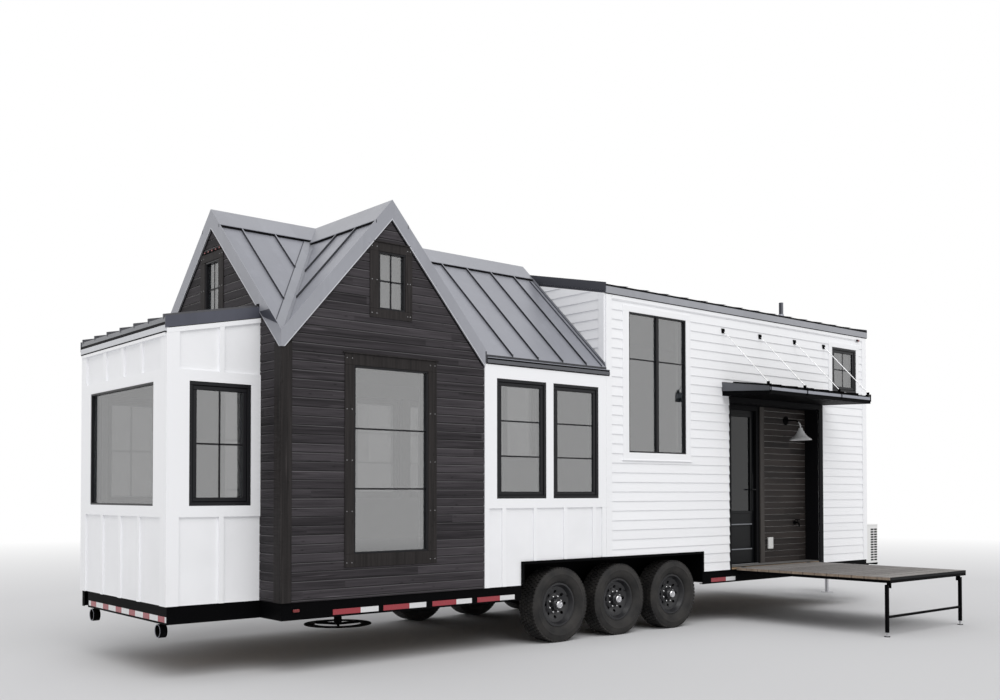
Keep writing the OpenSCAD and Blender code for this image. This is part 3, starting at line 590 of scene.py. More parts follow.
DARK, PALE = (0.0130, 0.0114, 0.0130), (0.0680, 0.0610, 0.0680)
WHITE = (0.905, 0.91, 0.93)
STACKED = (2, BOARD_LINE, BOARD_PITCH)
SINGLE = (0, 0.0, 5.0)
# lip=0.32 paints a highlight, with dust, along the upper edge of each dark board.
DARK_X = Boards("dark boards", "dark_siding", DARK, PALE, *STACKED, Grain.X, gloss=0.14, lip=0.32)
# Painted shade: the rear wall's boards are a darker copy of the same dark boards.
DARK_Y_SHADED = Boards("shaded dark boards across", "dark_siding", shade(DARK, 0.9), shade(PALE, 0.8), *STACKED, Grain.Y,
                gloss=0.14, lip=0.32)
DARK_TRIM = Boards("dark trim", "dark_siding", (0.0090, 0.0079, 0.0080), (0.0390, 0.0345, 0.0340), *SINGLE,
                   Grain.Z, gloss=0.14, knots=0.4)
# Painted shade: the recess's boards are a darker copy of the dark boards, for the shade under the awning.
RECESS_WOOD_SHADED = Boards("shaded recess boards", "dark_siding", (0.009, 0.0075, 0.0075), (0.044, 0.036, 0.033), *STACKED,
                     Grain.X, board=0.9)
POST_WOOD = Boards("post wood", "dark_siding", (0.036, 0.032, 0.030), (0.085, 0.077, 0.072), *SINGLE, Grain.Z,
                   knots=0.2)
# edge paints the sides of the deck boards near black, as shade in the gaps between them.
DECK_WOOD = Boards("deck boards", "deck_wood", (0.135, 0.126, 0.122), (0.290, 0.274, 0.262), 1,
                   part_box("deck_boards")[0].y,
                   (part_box("deck_boards")[1].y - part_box("deck_boards")[0].y + DECK_GAP) / DECK_ROWS,
                   Grain.X, board=40.0, roughness=0.7, edge=(0.008, 0.008, 0.009))
BOARD_ENDS = Boards("deck board ends", "deck_wood", (0.20, 0.155, 0.12), (0.34, 0.27, 0.21), 1, 0.0, 0.1,
                    Grain.Z, knots=0.0)
FLOOR_WOOD = Boards("floor boards", "interior_floor", (0.30, 0.20, 0.12), (0.46, 0.33, 0.21), 1, 0.0, 0.12,
                    Grain.X, roughness=0.45)
WHITE_X = PaintedBoards("white boards", "white_siding", WHITE)
WHITE_Y = PaintedBoards("white boards across", "white_siding", WHITE, grain=Grain.Y)
WHITE_FLAT = PaintedBoards("white panels", "white_siding", WHITE, pitch=9.0, grain=Grain.Z)
DARK_CORE = WallCore("dark wall", "dark_siding", (0.008, 0.007, 0.007))
WHITE_CORE = WallCore("white wall", "white_siding", shade(WHITE, 0.985))
BLACK_TRIM = Paint("black trim", "black_trim", (0.006, 0.006, 0.007), roughness=0.6, gloss=0.07)
BLACK_STEEL = Paint("black steel", "black_steel", (0.0020, 0.0020, 0.0024), roughness=0.55, gloss=0.03,
                    dust=0.06)
SLIDE = SlidePaint("jack slide", "bright_steel", (0.006, 0.006, 0.007), height=0.30)
FRAME_BLACK = Paint("window frame", "window_black", (0.009, 0.009, 0.011), roughness=0.36, gloss=0.24)
DOOR_BLACK = Paint("door paint", "door_black", (0.0045, 0.0050, 0.0060), roughness=0.36, gloss=0.16)
# Painted highlight: the door's ledges are light grey, for the light caught by their edges on the black door.
DOOR_LEDGE_HIGHLIGHT = Paint("door ledge highlights", "door_black", (0.20, 0.21, 0.23), roughness=0.3)
# Painted shade for the undersides of flashings and fascias, each darker than the top of its metal.
DIM_UNDER_SHADE, PALE_UNDER_SHADE, DARK_UNDER_SHADE = (0.10, 0.10, 0.11), (0.3, 0.3, 0.32), (0.04, 0.04, 0.045)
GREY_METAL = SheetMetal("grey roof metal", "grey_roof", (0.290, 0.297, 0.334), upright_lighting_x=(0.028, 0.029, 0.034),
                        upright_lighting_y=(0.045, 0.046, 0.052))
GREY_CAP = SheetMetal("grey flashing", "grey_roof", (0.315, 0.322, 0.355), ceiling_and_under_shade=DIM_UNDER_SHADE)
GREY_EDGE = SheetMetal("grey fascia", "grey_roof", (0.290, 0.300, 0.340), ceiling_and_under_shade=DIM_UNDER_SHADE)
EAVE_METAL = SheetMetal("eave fascia", "grey_roof", (0.335, 0.342, 0.370), ceiling_and_under_shade=DIM_UNDER_SHADE)
PALE_FASCIA = SheetMetal("pale fascia", "grey_roof", (0.60, 0.61, 0.64), ceiling_and_under_shade=PALE_UNDER_SHADE)
# Painted highlight: the folded lips are a much lighter copy of the flashing metal.
LIP_HIGHLIGHT = SheetMetal("flashing lip highlight", "grey_roof", (0.58, 0.59, 0.63), ceiling_and_under_shade=PALE_UNDER_SHADE)
LOW_EAVE = SheetMetal("low eave fascia", "grey_roof", (0.105, 0.108, 0.120), ceiling_and_under_shade=(0.05, 0.05, 0.05))
TALL_METAL = SheetMetal("tall roof metal", "dark_roof", (0.150, 0.154, 0.172), upright_lighting_x=(0.050, 0.052, 0.064),
                        upright_lighting_y=(0.16, 0.165, 0.185))
DARK_METAL = SheetMetal("dark flashing", "dark_roof", (0.056, 0.059, 0.076), ceiling_and_under_shade=(0.02, 0.02, 0.022))
BAY_METAL = SheetMetal("bay roof metal", "dark_roof", (0.150, 0.154, 0.172), upright_lighting_x=(0.20, 0.205, 0.22),
                       upright_lighting_y=(0.10, 0.10, 0.11))
BAY_FLASHING = SheetMetal("bay flashing", "dark_roof", (0.080, 0.084, 0.108), ceiling_and_under_shade=DARK_UNDER_SHADE)
AWNING_END = SheetMetal("awning end", "dark_roof", (0.100, 0.104, 0.115), ceiling_and_under_shade=DARK_UNDER_SHADE)
VALLEY_METAL = SheetMetal("valley flashing", "grey_roof", (0.300, 0.308, 0.340))
GLASS = Glazing("window glass", "window_glass", (0.020, 0.025, 0.029), 0.56, 4.2)
# Painted shade: the door's glass is a darker, more opaque copy of the window glass that mirrors less, for the
# shaded recess.
DOOR_GLASS_SHADED = Glazing("shaded door glass", "window_glass", (0.008, 0.009, 0.010), 0.86, 1.5)
RUBBER = Rubber("tyre rubber", "tyre", (0.0088, 0.0084, 0.0088))
RIM_PAINT = Paint("rim paint", "rim_black", (0.014, 0.014, 0.016), roughness=0.3, gloss=0.5)
ZINC = Bright("zinc plate", "bright_steel", (0.55, 0.55, 0.57), 0.38)
STAINLESS = Bright("stainless rod", "bright_steel", (0.80, 0.80, 0.81), 0.22)
CHROME = Bright("polished cap", "chrome_cap", (0.72, 0.72, 0.74), 0.2)
LAMP_GREY = Paint("lamp enamel", "lamp_grey", (0.66, 0.665, 0.67), roughness=0.3, relief=0.0001)
RECESS_FLOOR = Paint("recess floor cover", "deck_wood", (0.16, 0.155, 0.15), roughness=0.6)
CONDENSER = Paint("condenser enamel", "condenser_white", (0.78, 0.78, 0.77), roughness=0.4)
PLASTIC = Paint("white plastic", "white_plastic", (0.72, 0.72, 0.71), roughness=0.35)
SEAL = Paint("rubber seal", "rubber_seal", (0.010, 0.010, 0.010), roughness=0.7, gloss=0.15)
RED_TAPE = Lens("red tape", "reflective_tape_red", (0.33, 0.022, 0.035))
WHITE_TAPE = Lens("white tape", "reflective_tape_white", (0.74, 0.74, 0.75))
RED_LENS = Lens("red lens", "red_lens", (0.20, 0.010, 0.010), cell=0.007)


class Form:
    """One piece in the making, in metres from the rear near corner of the house."""

    def __init__(self, name: str) -> None:
        """Starts an empty piece."""
        self.name = name
        self.mesh = bmesh.new()

    def bevel(self, verts: Iterable[bmesh.types.BMVert], width: float) -> None:
        """Rounds the edges between some points."""
        edges = list({edge for vert in verts for edge in vert.link_edges})
        bmesh.ops.bevel(self.mesh, geom=edges, offset=width, segments=1, profile=0.5, affect="EDGES",
                        material=-1)

    def box(self, low: Point, high: Point, bevel: float = 0.0) -> None:
        """Adds a block.

        Args:
            low: One corner.
            high: The opposite corner.
            bevel: Width of the bevel on its edges.
        """
        a, b = Vector(low), Vector(high)
        size = [abs(part) for part in b - a]
        matrix = Matrix.Translation((a + b) / 2) @ Matrix.Diagonal((*size, 1.0))
        made = bmesh.ops.create_cube(self.mesh, size=1.0, matrix=matrix)
        if bevel:
            self.bevel(made["verts"], bevel)

    def prism(self, outline: Sequence[Point], run: Point) -> None:
        """Extrudes a flat outline along a run."""
        face = self.mesh.faces.new([self.mesh.verts.new(point) for point in outline])
        made = bmesh.ops.extrude_face_region(self.mesh, geom=[face])
        moved = [part for part in made["geom"] if isinstance(part, bmesh.types.BMVert)]
        bmesh.ops.translate(self.mesh, vec=Vector(run), verts=moved)

    def rod(self, start: Point, end: Point, radius: float, end_radius: float | None = None,
            sides: int = 16) -> None:
        """Adds a round bar, or a cone where the end has its own radius."""
        a, b = Vector(start), Vector(end)
        turn = (b - a).to_track_quat("Z", "Y").to_matrix().to_4x4()
        bmesh.ops.create_cone(self.mesh, cap_ends=True, segments=sides, radius1=radius,
                              radius2=radius if end_radius is None else end_radius, depth=(b - a).length,
                              matrix=Matrix.Translation((a + b) / 2) @ turn)

    def ball(self, centre: Point, radius: float, flat: float = 1.0, axis: Point = (0, 0, 1),
             sides: int = 16) -> None:
        """Adds a ball, flattened along an axis where wished."""
        turn = Vector(axis).to_track_quat("Z", "Y").to_matrix().to_4x4()
        bmesh.ops.create_uvsphere(self.mesh, u_segments=sides, v_segments=sides // 2, radius=radius,
                                  matrix=Matrix.Translation(centre) @ turn @ Matrix.Diagonal((1, 1, flat, 1)))

    def revolve(self, profile: Sequence[Pair], centre: Point, axis: Point, steps: int = 48) -> None:
        """Spins a closed profile.

        Args:
            profile: Points as (radius, distance along the axis).
            centre: Point on the axis.
            axis: Direction of the axis.
            steps: Number of facets round it.
        """
        turn = Vector(axis).to_track_quat("Z", "Y").to_matrix()
        points = [Vector(centre) + turn @ Vector((r, 0, h)) for r, h in profile]
        verts = [self.mesh.verts.new(point) for point in points]
        edges = [self.mesh.edges.new((a, b)) for a, b in zip(verts, verts[1:] + verts[:1])]
        bmesh.ops.spin(self.mesh, geom=verts + edges, cent=centre, axis=Vector(axis), angle=2 * math.pi,
                       steps=steps, use_merge=True, use_duplicate=False)

    def tube(self, path: Sequence[Point], radius: float, sides: int = 10) -> None:
        """Sweeps a round bar along a path of points."""
        points = [Vector(point) for point in path]
        rings = []
        for i, point in enumerate(points):
            ahead = points[min(i + 1, len(points) - 1)] - points[max(i - 1, 0)]
            turn = ahead.to_track_quat("Z", "Y").to_matrix().to_4x4()
            made = bmesh.ops.create_circle(self.mesh, cap_ends=False, segments=sides, radius=radius,
                                           matrix=Matrix.Translation(point) @ turn)
            rings.append(list({edge for vert in made["verts"] for edge in vert.link_edges}))
        for first, second in zip(rings, rings[1:]):
            bmesh.ops.bridge_loops(self.mesh, edges=first + second)
        bmesh.ops.holes_fill(self.mesh, edges=rings[0] + rings[-1], sides=sides)

    def clip(self, point: Point, outward: Point) -> None:
        """Cuts off what lies beyond a plane and closes the cuts."""
        parts = self.mesh.verts[:] + self.mesh.edges[:] + self.mesh.faces[:]
        cut = bmesh.ops.bisect_plane(self.mesh, geom=parts, plane_co=Vector(point),
                                     plane_no=Vector(outward).normalized(), clear_outer=True)
        edges = [part for part in cut["geom_cut"] if isinstance(part, bmesh.types.BMEdge)]
        bmesh.ops.holes_fill(self.mesh, edges=edges, sides=0)

    def join(self, other: Form) -> None:
        """Takes over the mesh of another form."""
        data = bpy.data.meshes.new(other.name)
        other.mesh.to_mesh(data)
        other.mesh.free()
        self.mesh.from_mesh(data)
        bpy.data.meshes.remove(data)

    def finish(self, finish: Finish, body: str = "house", replaces: Sequence[str] = (),
               sharp: float = 35.0) -> None:
        """Makes the piece an object of its finish that rides on its body.

        Args:
            finish: What it is made of.
            body: The CAD body that it moves with.
            replaces: CAD nodes that it stands for.
            sharp: Angle in degrees past which an edge stays sharp.
        """
        bmesh.ops.recalc_face_normals(self.mesh, faces=self.mesh.faces)
        bmesh.ops.translate(self.mesh, vec=ORIGIN, verts=self.mesh.verts)
        data = bpy.data.meshes.new(self.name)
        self.mesh.to_mesh(data)
        self.mesh.free()
        data.materials.append(finish.material())
        data.shade_smooth()
        data.set_sharp_from_angle(angle=math.radians(sharp))
        piece = bpy.data.objects.new(self.name, data)
        bpy.context.scene.collection.objects.link(piece)
        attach(piece, body)
        if replaces:
            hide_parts(*replaces)
        LOG.info("%s: %d faces on %s", self.name, len(data.polygons), body)


@dataclass(frozen=True)
class Opening:
    """A rectangle on a wall: where it starts and ends along it, its sill and its head."""

    start: float
    end: float
    sill: float
    head: float

    def grown(self, by: float) -> Opening:
        """The same rectangle, larger on every side."""
        return Opening(self.start - by, self.end + by, self.sill - by, self.head + by)

    def moved(self, by: float) -> Opening:
        """The same rectangle, further along the wall."""
        return Opening(self.start + by, self.end + by, self.sill, self.head)


@dataclass(frozen=True)
class Course:
    """Section of a run of siding: its first line, its pitch, and how far its foot and head stand out."""

    first: float
    pitch: float
    foot: float
    head: float
    gap: float = 0.0

    def out(self, number: int, z: float) -> float:
        """How far the course of that number stands out at a height."""
        share = (z - self.first - number * self.pitch) / self.pitch
        return self.foot + (self.head - self.foot) * share


def free_runs(area: Opening, low: float, high: float, holes: Sequence[Opening]) -> list[Pair]:
    """Finds what is left of a strip of wall beside the openings.

    Args:
        area: The stretch of wall.
        low: Lower edge of the strip.
        high: Upper edge of the strip.
        holes: Openings in the wall.

    Returns:
        Start and end of each stretch that is left.
    """
    runs = [(area.start, area.end)]
    for hole in holes:
        if hole.sill < high - TINY and hole.head > low + TINY:
            runs = [run for a, b in runs for run in ((a, min(b, hole.start)), (max(a, hole.end), b))]
            runs = [run for run in runs if run[1] - run[0] > TINY]
    return runs


def levels(low: float, high: float, holes: Sequence[Opening]) -> list[float]:
    """Heights at which a strip changes because an opening starts or ends there."""
    inner = {z for hole in holes for z in (hole.sill, hole.head) if low + TINY < z < high - TINY}
    return [low, *sorted(inner), high]


@dataclass(frozen=True)
class Wall:
    """An outer face: the axis that runs along it, its plane, and the side that is out."""

    along: Axis
    plane: float
    side: int

    def place(self, a: float, out: float, z: float) -> Vector:
        """The point at a along the wall, at a distance out of its plane and at a height."""
        return self.along.point(a, self.plane + self.side * out, z)

    def outward(self, length: float = 1.0) -> Vector:
        """The way out of the wall."""
        return self.along.point(0, self.side * length, 0)

    def slab(self, form: Form, area: Opening, out: Pair, bevel: float = 0.0) -> None:
        """Adds a flat board over an area, between two distances from the wall."""
        form.box(self.place(area.start, out[0], area.sill), self.place(area.end, out[1], area.head), bevel)

    def sheet(self, form: Form, area: Opening, holes: Sequence[Opening], out: Pair) -> None:
        """Adds a flat layer over an area, cut out at the openings."""
        heights = levels(area.sill, area.head, holes)
        for low, high in zip(heights, heights[1:]):
            for start, end in free_runs(area, low, high, holes):
                self.slab(form, Opening(start, end, low, high), out)

    def clad(self, form: Form, area: Opening, holes: Sequence[Opening], course: Course) -> None:
        """Lays courses of siding over an area, cut out at the openings."""
        number = math.floor((area.sill - course.first) / course.pitch)
        while course.first + number * course.pitch < area.head - TINY:
            low = max(area.sill, course.first + number * course.pitch)
            high = min(area.head, course.first + (number + 1) * course.pitch - course.gap)
            if high - low > TINY:
                heights = levels(low, high, holes)
                for z0, z1 in zip(heights, heights[1:]):
                    out0, out1 = course.out(number, z0), course.out(number, z1)
                    for start, end in free_runs(area, z0, z1, holes):
                        outline = [self.place(start, *point) for point in
                                   ((0, z0), (out0, z0), (out1, z1), (0, z1))]
                        form.prism(outline, self.along.point(end - start, 0, 0))
            number += 1

    def ring(self, form: Form, hole: Opening, outer: Opening, out: Pair, bevel: float = 0.0) -> None:
        """Adds four boards between an opening and an outer rectangle."""
        for part in (Opening(outer.start, outer.end, hole.head, outer.head),
                     Opening(outer.start, outer.end, outer.sill, hole.sill),
                     Opening(outer.start, hole.start, hole.sill, hole.head),
                     Opening(hole.end, outer.end, hole.sill, hole.head)):
            if part.end - part.start > TINY and part.head - part.sill > TINY:
                self.slab(form, part, out, bevel)


NEAR = Wall(Axis.X, 0.0, -1)
FAR = Wall(Axis.X, SHELL.width, 1)
REAR = Wall(Axis.Y, 0.0, -1)
FRONT = Wall(Axis.Y, SHELL.length, 1)
TALL_END = Wall(Axis.Y, SHELL.tall_start, -1)
RECESS = Wall(Axis.X, SHELL.recess_depth, -1)
BAY_NEAR = Wall(Axis.X, SHELL.bay_near, -1)
BAY_FAR = Wall(Axis.X, SHELL.bay_far, 1)
BAY_END = Wall(Axis.Y, SHELL.bay_end, -1)

PICTURE = Opening(SHELL.mid_x - 0.383, SHELL.mid_x + 0.403, 0.978, 2.600)
GABLE_LIGHT = Opening(SHELL.mid_x - 0.132, SHELL.mid_x + 0.150, 3.113, 3.623)
LOW_PAIR = (Opening(2.282, 2.925, 1.446, 2.600), Opening(3.022, 3.664, 1.446, 2.600))
TALL_WINDOW = Opening(4.132, 5.070, 1.934, 3.444)
LOFT_WINDOW = Opening(8.022, 8.593, 2.835, 3.414)
BAY_SIDE = Opening(-0.641, -0.099, 1.397, 2.406)
BAY_WINDOW = Opening(0.618, 2.066, 1.397, 2.406)
REAR_LIGHT = Opening(SHELL.mid_y - 0.141, SHELL.mid_y + 0.141, 3.113, 3.623)
WELL = Opening(SHELL.well_start, SHELL.well_end, 0.0, SHELL.well_top)


@dataclass(frozen=True)
class DarkCladding:
    """Stained boards on the gable ends and the rear wall, with their corner boards."""

    course: Course = Course(BOARD_LINE, BOARD_PITCH, 0.011, 0.010, 0.0065)
    corner_near: float = 0.081
    corner_rear: float = 0.109
    corner_out: float = 0.018
    gap: float = 0.002
    roof_gap: float = 0.003

    def gable(self, wall: Wall, name: str) -> None:
        """Clads one face of the cross gable."""
        form = Form(name)
        area = Opening(self.corner_near, SHELL.gable_end - self.gap, SHELL.base, SHELL.ridge)
        wall.clad(form, area, [PICTURE, GABLE_LIGHT], self.course)
        SHELL.cross.trim(form, self.roof_gap)
        form.finish(DARK_X)

    def rear(self) -> None:
        """Clads the rear wall beside and over the bay."""
        form = Form("rear_boards")
        bay = Opening(SHELL.bay_near + self.gap, SHELL.bay_far - self.gap, 0, SHELL.bay_top + 0.004)
        area = Opening(self.corner_rear, SHELL.width - self.corner_rear, SHELL.base, SHELL.ridge)
        REAR.clad(form, area, [bay, REAR_LIGHT], self.course)
        SHELL.main.trim(form, self.roof_gap)
        form.finish(DARK_Y_SHADED)

    def corners(self) -> None:
        """Stands the corner boards, folded round both rear corners."""
        form = Form("dark_corner_boards")
        out, head = (0.0, self.corner_out), SHELL.eave + 0.06
        for wall in (NEAR, FAR):
            wall.slab(form, Opening(-self.corner_out, self.corner_near, SHELL.base, SHELL.eave), out, EASED)
        for start in (0.0, SHELL.width - self.corner_rear):
            REAR.slab(form, Opening(start, start + self.corner_rear, SHELL.base, head), out, EASED)
        SHELL.main.trim(form, self.roof_gap)
        SHELL.cross.trim(form, self.roof_gap)
        form.finish(DARK_TRIM)

    def build(self) -> None:
        """Builds every dark board."""
        self.gable(NEAR, "near_gable_boards")
        self.gable(FAR, "far_gable_boards")
        self.rear()
        self.corners()


@dataclass(frozen=True)
class LapCladding:
    """White lap siding on the tall section, with corner boards and a frieze."""

    course: Course = Course(0.6, LAP_PITCH, 0.013, 0.004)
    corner: float = 0.095
    run: Pair = (SHELL.tall_start + 0.085, SHELL.length - corner)
    corner_out: float = 0.018
    corner_head: float = 3.596
    frieze: Pair = (3.556, 3.600)
    roof_gap: float = 0.002
    end_run: Pair = (SHELL.eave - 0.03, 3.62)
    recess: Opening = Opening(5.858, 7.795, 0.0, 2.80)

    def long_side(self, wall: Wall, name: str, holes: list[Opening]) -> None:
        """Clads one long side of the tall section."""
        form = Form(name)
        wall.clad(form, Opening(*self.run, SHELL.base, self.frieze[0]), holes, self.course)
        form.finish(WHITE_X)

    def trims(self) -> None:
        """Stands the corner boards and lays the friezes between them."""
        form = Form("white_corner_boards")
        out = (0.0, self.corner_out)
        start, end = self.run
        for wall in (NEAR, FAR):
            wall.slab(form, Opening(SHELL.tall_start, start, SHELL.well_top, self.corner_head), out, EASED)
            wall.slab(form, Opening(end, SHELL.length, SHELL.base, self.corner_head), out, EASED)
            wall.slab(form, Opening(start + 0.001, end - 0.001, *self.frieze), out)
        for side in (0.0, SHELL.width - self.corner):
            FRONT.slab(form, Opening(side, side + self.corner, SHELL.base, 3.59), out, EASED)
        form.finish(WHITE_FLAT)

    def front(self) -> None:
        """Clads the front wall up to its roof."""
        form = Form("front_lap_boards")
        area = Opening(self.corner, SHELL.width - self.corner, SHELL.base, SHELL.tall_ridge)
        FRONT.clad(form, area, [], self.course)
        SHELL.tall.trim(form, self.roof_gap)
        form.finish(WHITE_Y)

    def over_low_roof(self) -> None:
        """Clads the end of the tall section where it rises over the main roof."""
        form, trim = Form("tall_end_lap_boards"), Form("tall_end_corner_boards")
        for side in (-1, 1):
            part = Form("half")
            start, end = sorted(SHELL.mid_y + side * reach for reach in (0.12, SHELL.mid_y - 0.001))
            area = Opening(start, end, SHELL.eave - 0.1, SHELL.tall_ridge)
            TALL_END.clad(part, area, [], self.course)
            SHELL.tall.trim(part, self.roof_gap)
            part.clip((0, SHELL.mid_y, SHELL.ridge + 0.004), (0, -side * SHELL.main.fall, -1))
            form.join(part)
        form.finish(WHITE_Y)
        for start in (0.0, SHELL.width - 0.08):
            area = Opening(start, start + 0.08, *self.end_run)
            TALL_END.slab(trim, area, (0.0, self.corner_out), EASED)
        SHELL.tall.trim(trim, self.roof_gap)
        trim.finish(WHITE_FLAT)

    def build(self) -> None:
        """Builds all the lap siding."""
        holes = [WELL, WindowWork.tall_casing, WindowWork.loft_casing]
        self.long_side(NEAR, "near_lap_boards", [*holes, self.recess])
        self.long_side(FAR, "far_lap_boards", holes)
        self.front()
        self.over_low_roof()
        self.trims()


@dataclass(frozen=True)
class PanelCladding:
    """White panels with battens on the low section and the bay."""

    out: float = 0.016
    layer: Pair = (0.0, out)
    low_run: Pair = (SHELL.gable_end + 0.002, SHELL.tall_start - 0.001)
    low_band: float = 1.353
    bay_band: float = 1.307
    bay_head: float = 2.496
    low_battens: tuple = ((2.132, 2.192), (2.351, 2.401), (2.757, 2.802), (3.167, 3.214),
                          (3.579, 3.628), (3.717, 3.779))
    side_batten: Pair = (-0.382, -0.340)
    end_low_battens: tuple = ((0.903, 0.950), (1.318, 1.379), (1.743, 1.796))
    end_high_battens: tuple = ((0.860, 0.907), (1.273, 1.333), (1.685, 1.760))
    side_end: float = -0.0125
    end_corner: float = 0.477
    roof_drop: float = 0.092

    def low_wall(self, wall: Wall, name: str) -> None:
        """Dresses one side of the low section."""
        form = Form(name)
        wall.sheet(form, Opening(*self.low_run, self.low_band, 2.727), LOW_PAIR, self.layer)
        for start, end in self.low_battens:
            foot = SHELL.base if end < SHELL.well_start else SHELL.well_top
            wall.slab(form, Opening(start, end, foot, self.low_band), self.layer, EASED)
        form.finish(WHITE_FLAT)

    def bay_side(self, wall: Wall, form: Form) -> None:
        """Dresses one side of the bay."""
        edge = SHELL.bay_end - self.out
        wall.sheet(form, Opening(edge, self.side_end, self.bay_band, self.bay_head), [BAY_SIDE], self.layer)
        for start, end in ((edge, -0.724), self.side_batten):
            wall.slab(form, Opening(start, end, SHELL.base, self.bay_band), self.layer)
            part = Form("side_batten")
            wall.slab(part, Opening(start, end, self.bay_head, SHELL.bay_top), self.layer)
            part.clip((0, 0, SHELL.bay_top - 0.1305), (-SHELL.bay_pitch, 0, 1))
            form.join(part)
        corners = ((edge, 0.130), (edge, self.roof_drop), (self.side_end, self.roof_drop),
                   (self.side_end, 0.130))
        outline = [wall.place(x, 0, SHELL.bay_height(x) - drop) for x, drop in corners]
        form.prism(outline, wall.outward(self.out))

    def bay(self) -> None:
        """Dresses the three sides of the bay."""
        form = Form("bay_panels")
        self.bay_side(BAY_NEAR, form)
        self.bay_side(BAY_FAR, form)
        near, far = SHELL.bay_near, SHELL.bay_far
        roof = SHELL.bay_height(SHELL.bay_end) - self.roof_drop
        BAY_END.sheet(form, Opening(near, far, self.bay_band, self.bay_head), [BAY_WINDOW], self.layer)
        corners = ((near, self.end_corner), (far - self.end_corner + near, far))
        for battens, sill, head in ((self.end_low_battens, SHELL.base, self.bay_band),
                                    (self.end_high_battens, self.bay_head, roof)):
            for start, end in (*corners, *battens):
                BAY_END.slab(form, Opening(start, end, sill, head), self.layer)
        BAY_END.slab(form, Opening(near, far, 2.78, roof), self.layer)
        form.finish(WHITE_FLAT)

    def build(self) -> None:
        """Builds all the battened panels."""
        self.low_wall(NEAR, "near_low_panels")
        self.low_wall(FAR, "far_low_panels")
        self.bay()


@dataclass(frozen=True)
class Window:
    """One window: its opening, how it is framed and cased, and the bars between its panes."""

    wall: Wall
    hole: Opening
    sashed: bool = False
    casing: Opening | None = None
    dark: bool = True
    cross: bool = False
    rails: tuple[float, ...] = ()
    mullion: float = 0.0
    sash_inset: ClassVar[float] = 0.068
    frame_inset: ClassVar[float] = 0.016
    sash_plane: ClassVar[float] = -0.010
    frame_plane: ClassVar[float] = -0.013

    @property
    def view(self) -> Opening:
        """What the glass fills."""
        return self.hole.grown(-self.sash_inset if self.sashed else -self.frame_inset)

    @property
    def plane(self) -> float:
        """How far the face of the glass stands out of the wall."""
        return self.sash_plane if self.sashed else self.frame_plane

    def upright(self, half: float) -> Opening:
        """A bar up the middle of the glass, of the given half width."""
        middle = (self.hole.start + self.hole.end) / 2
        return replace(self.view, start=middle - half, end=middle + half)


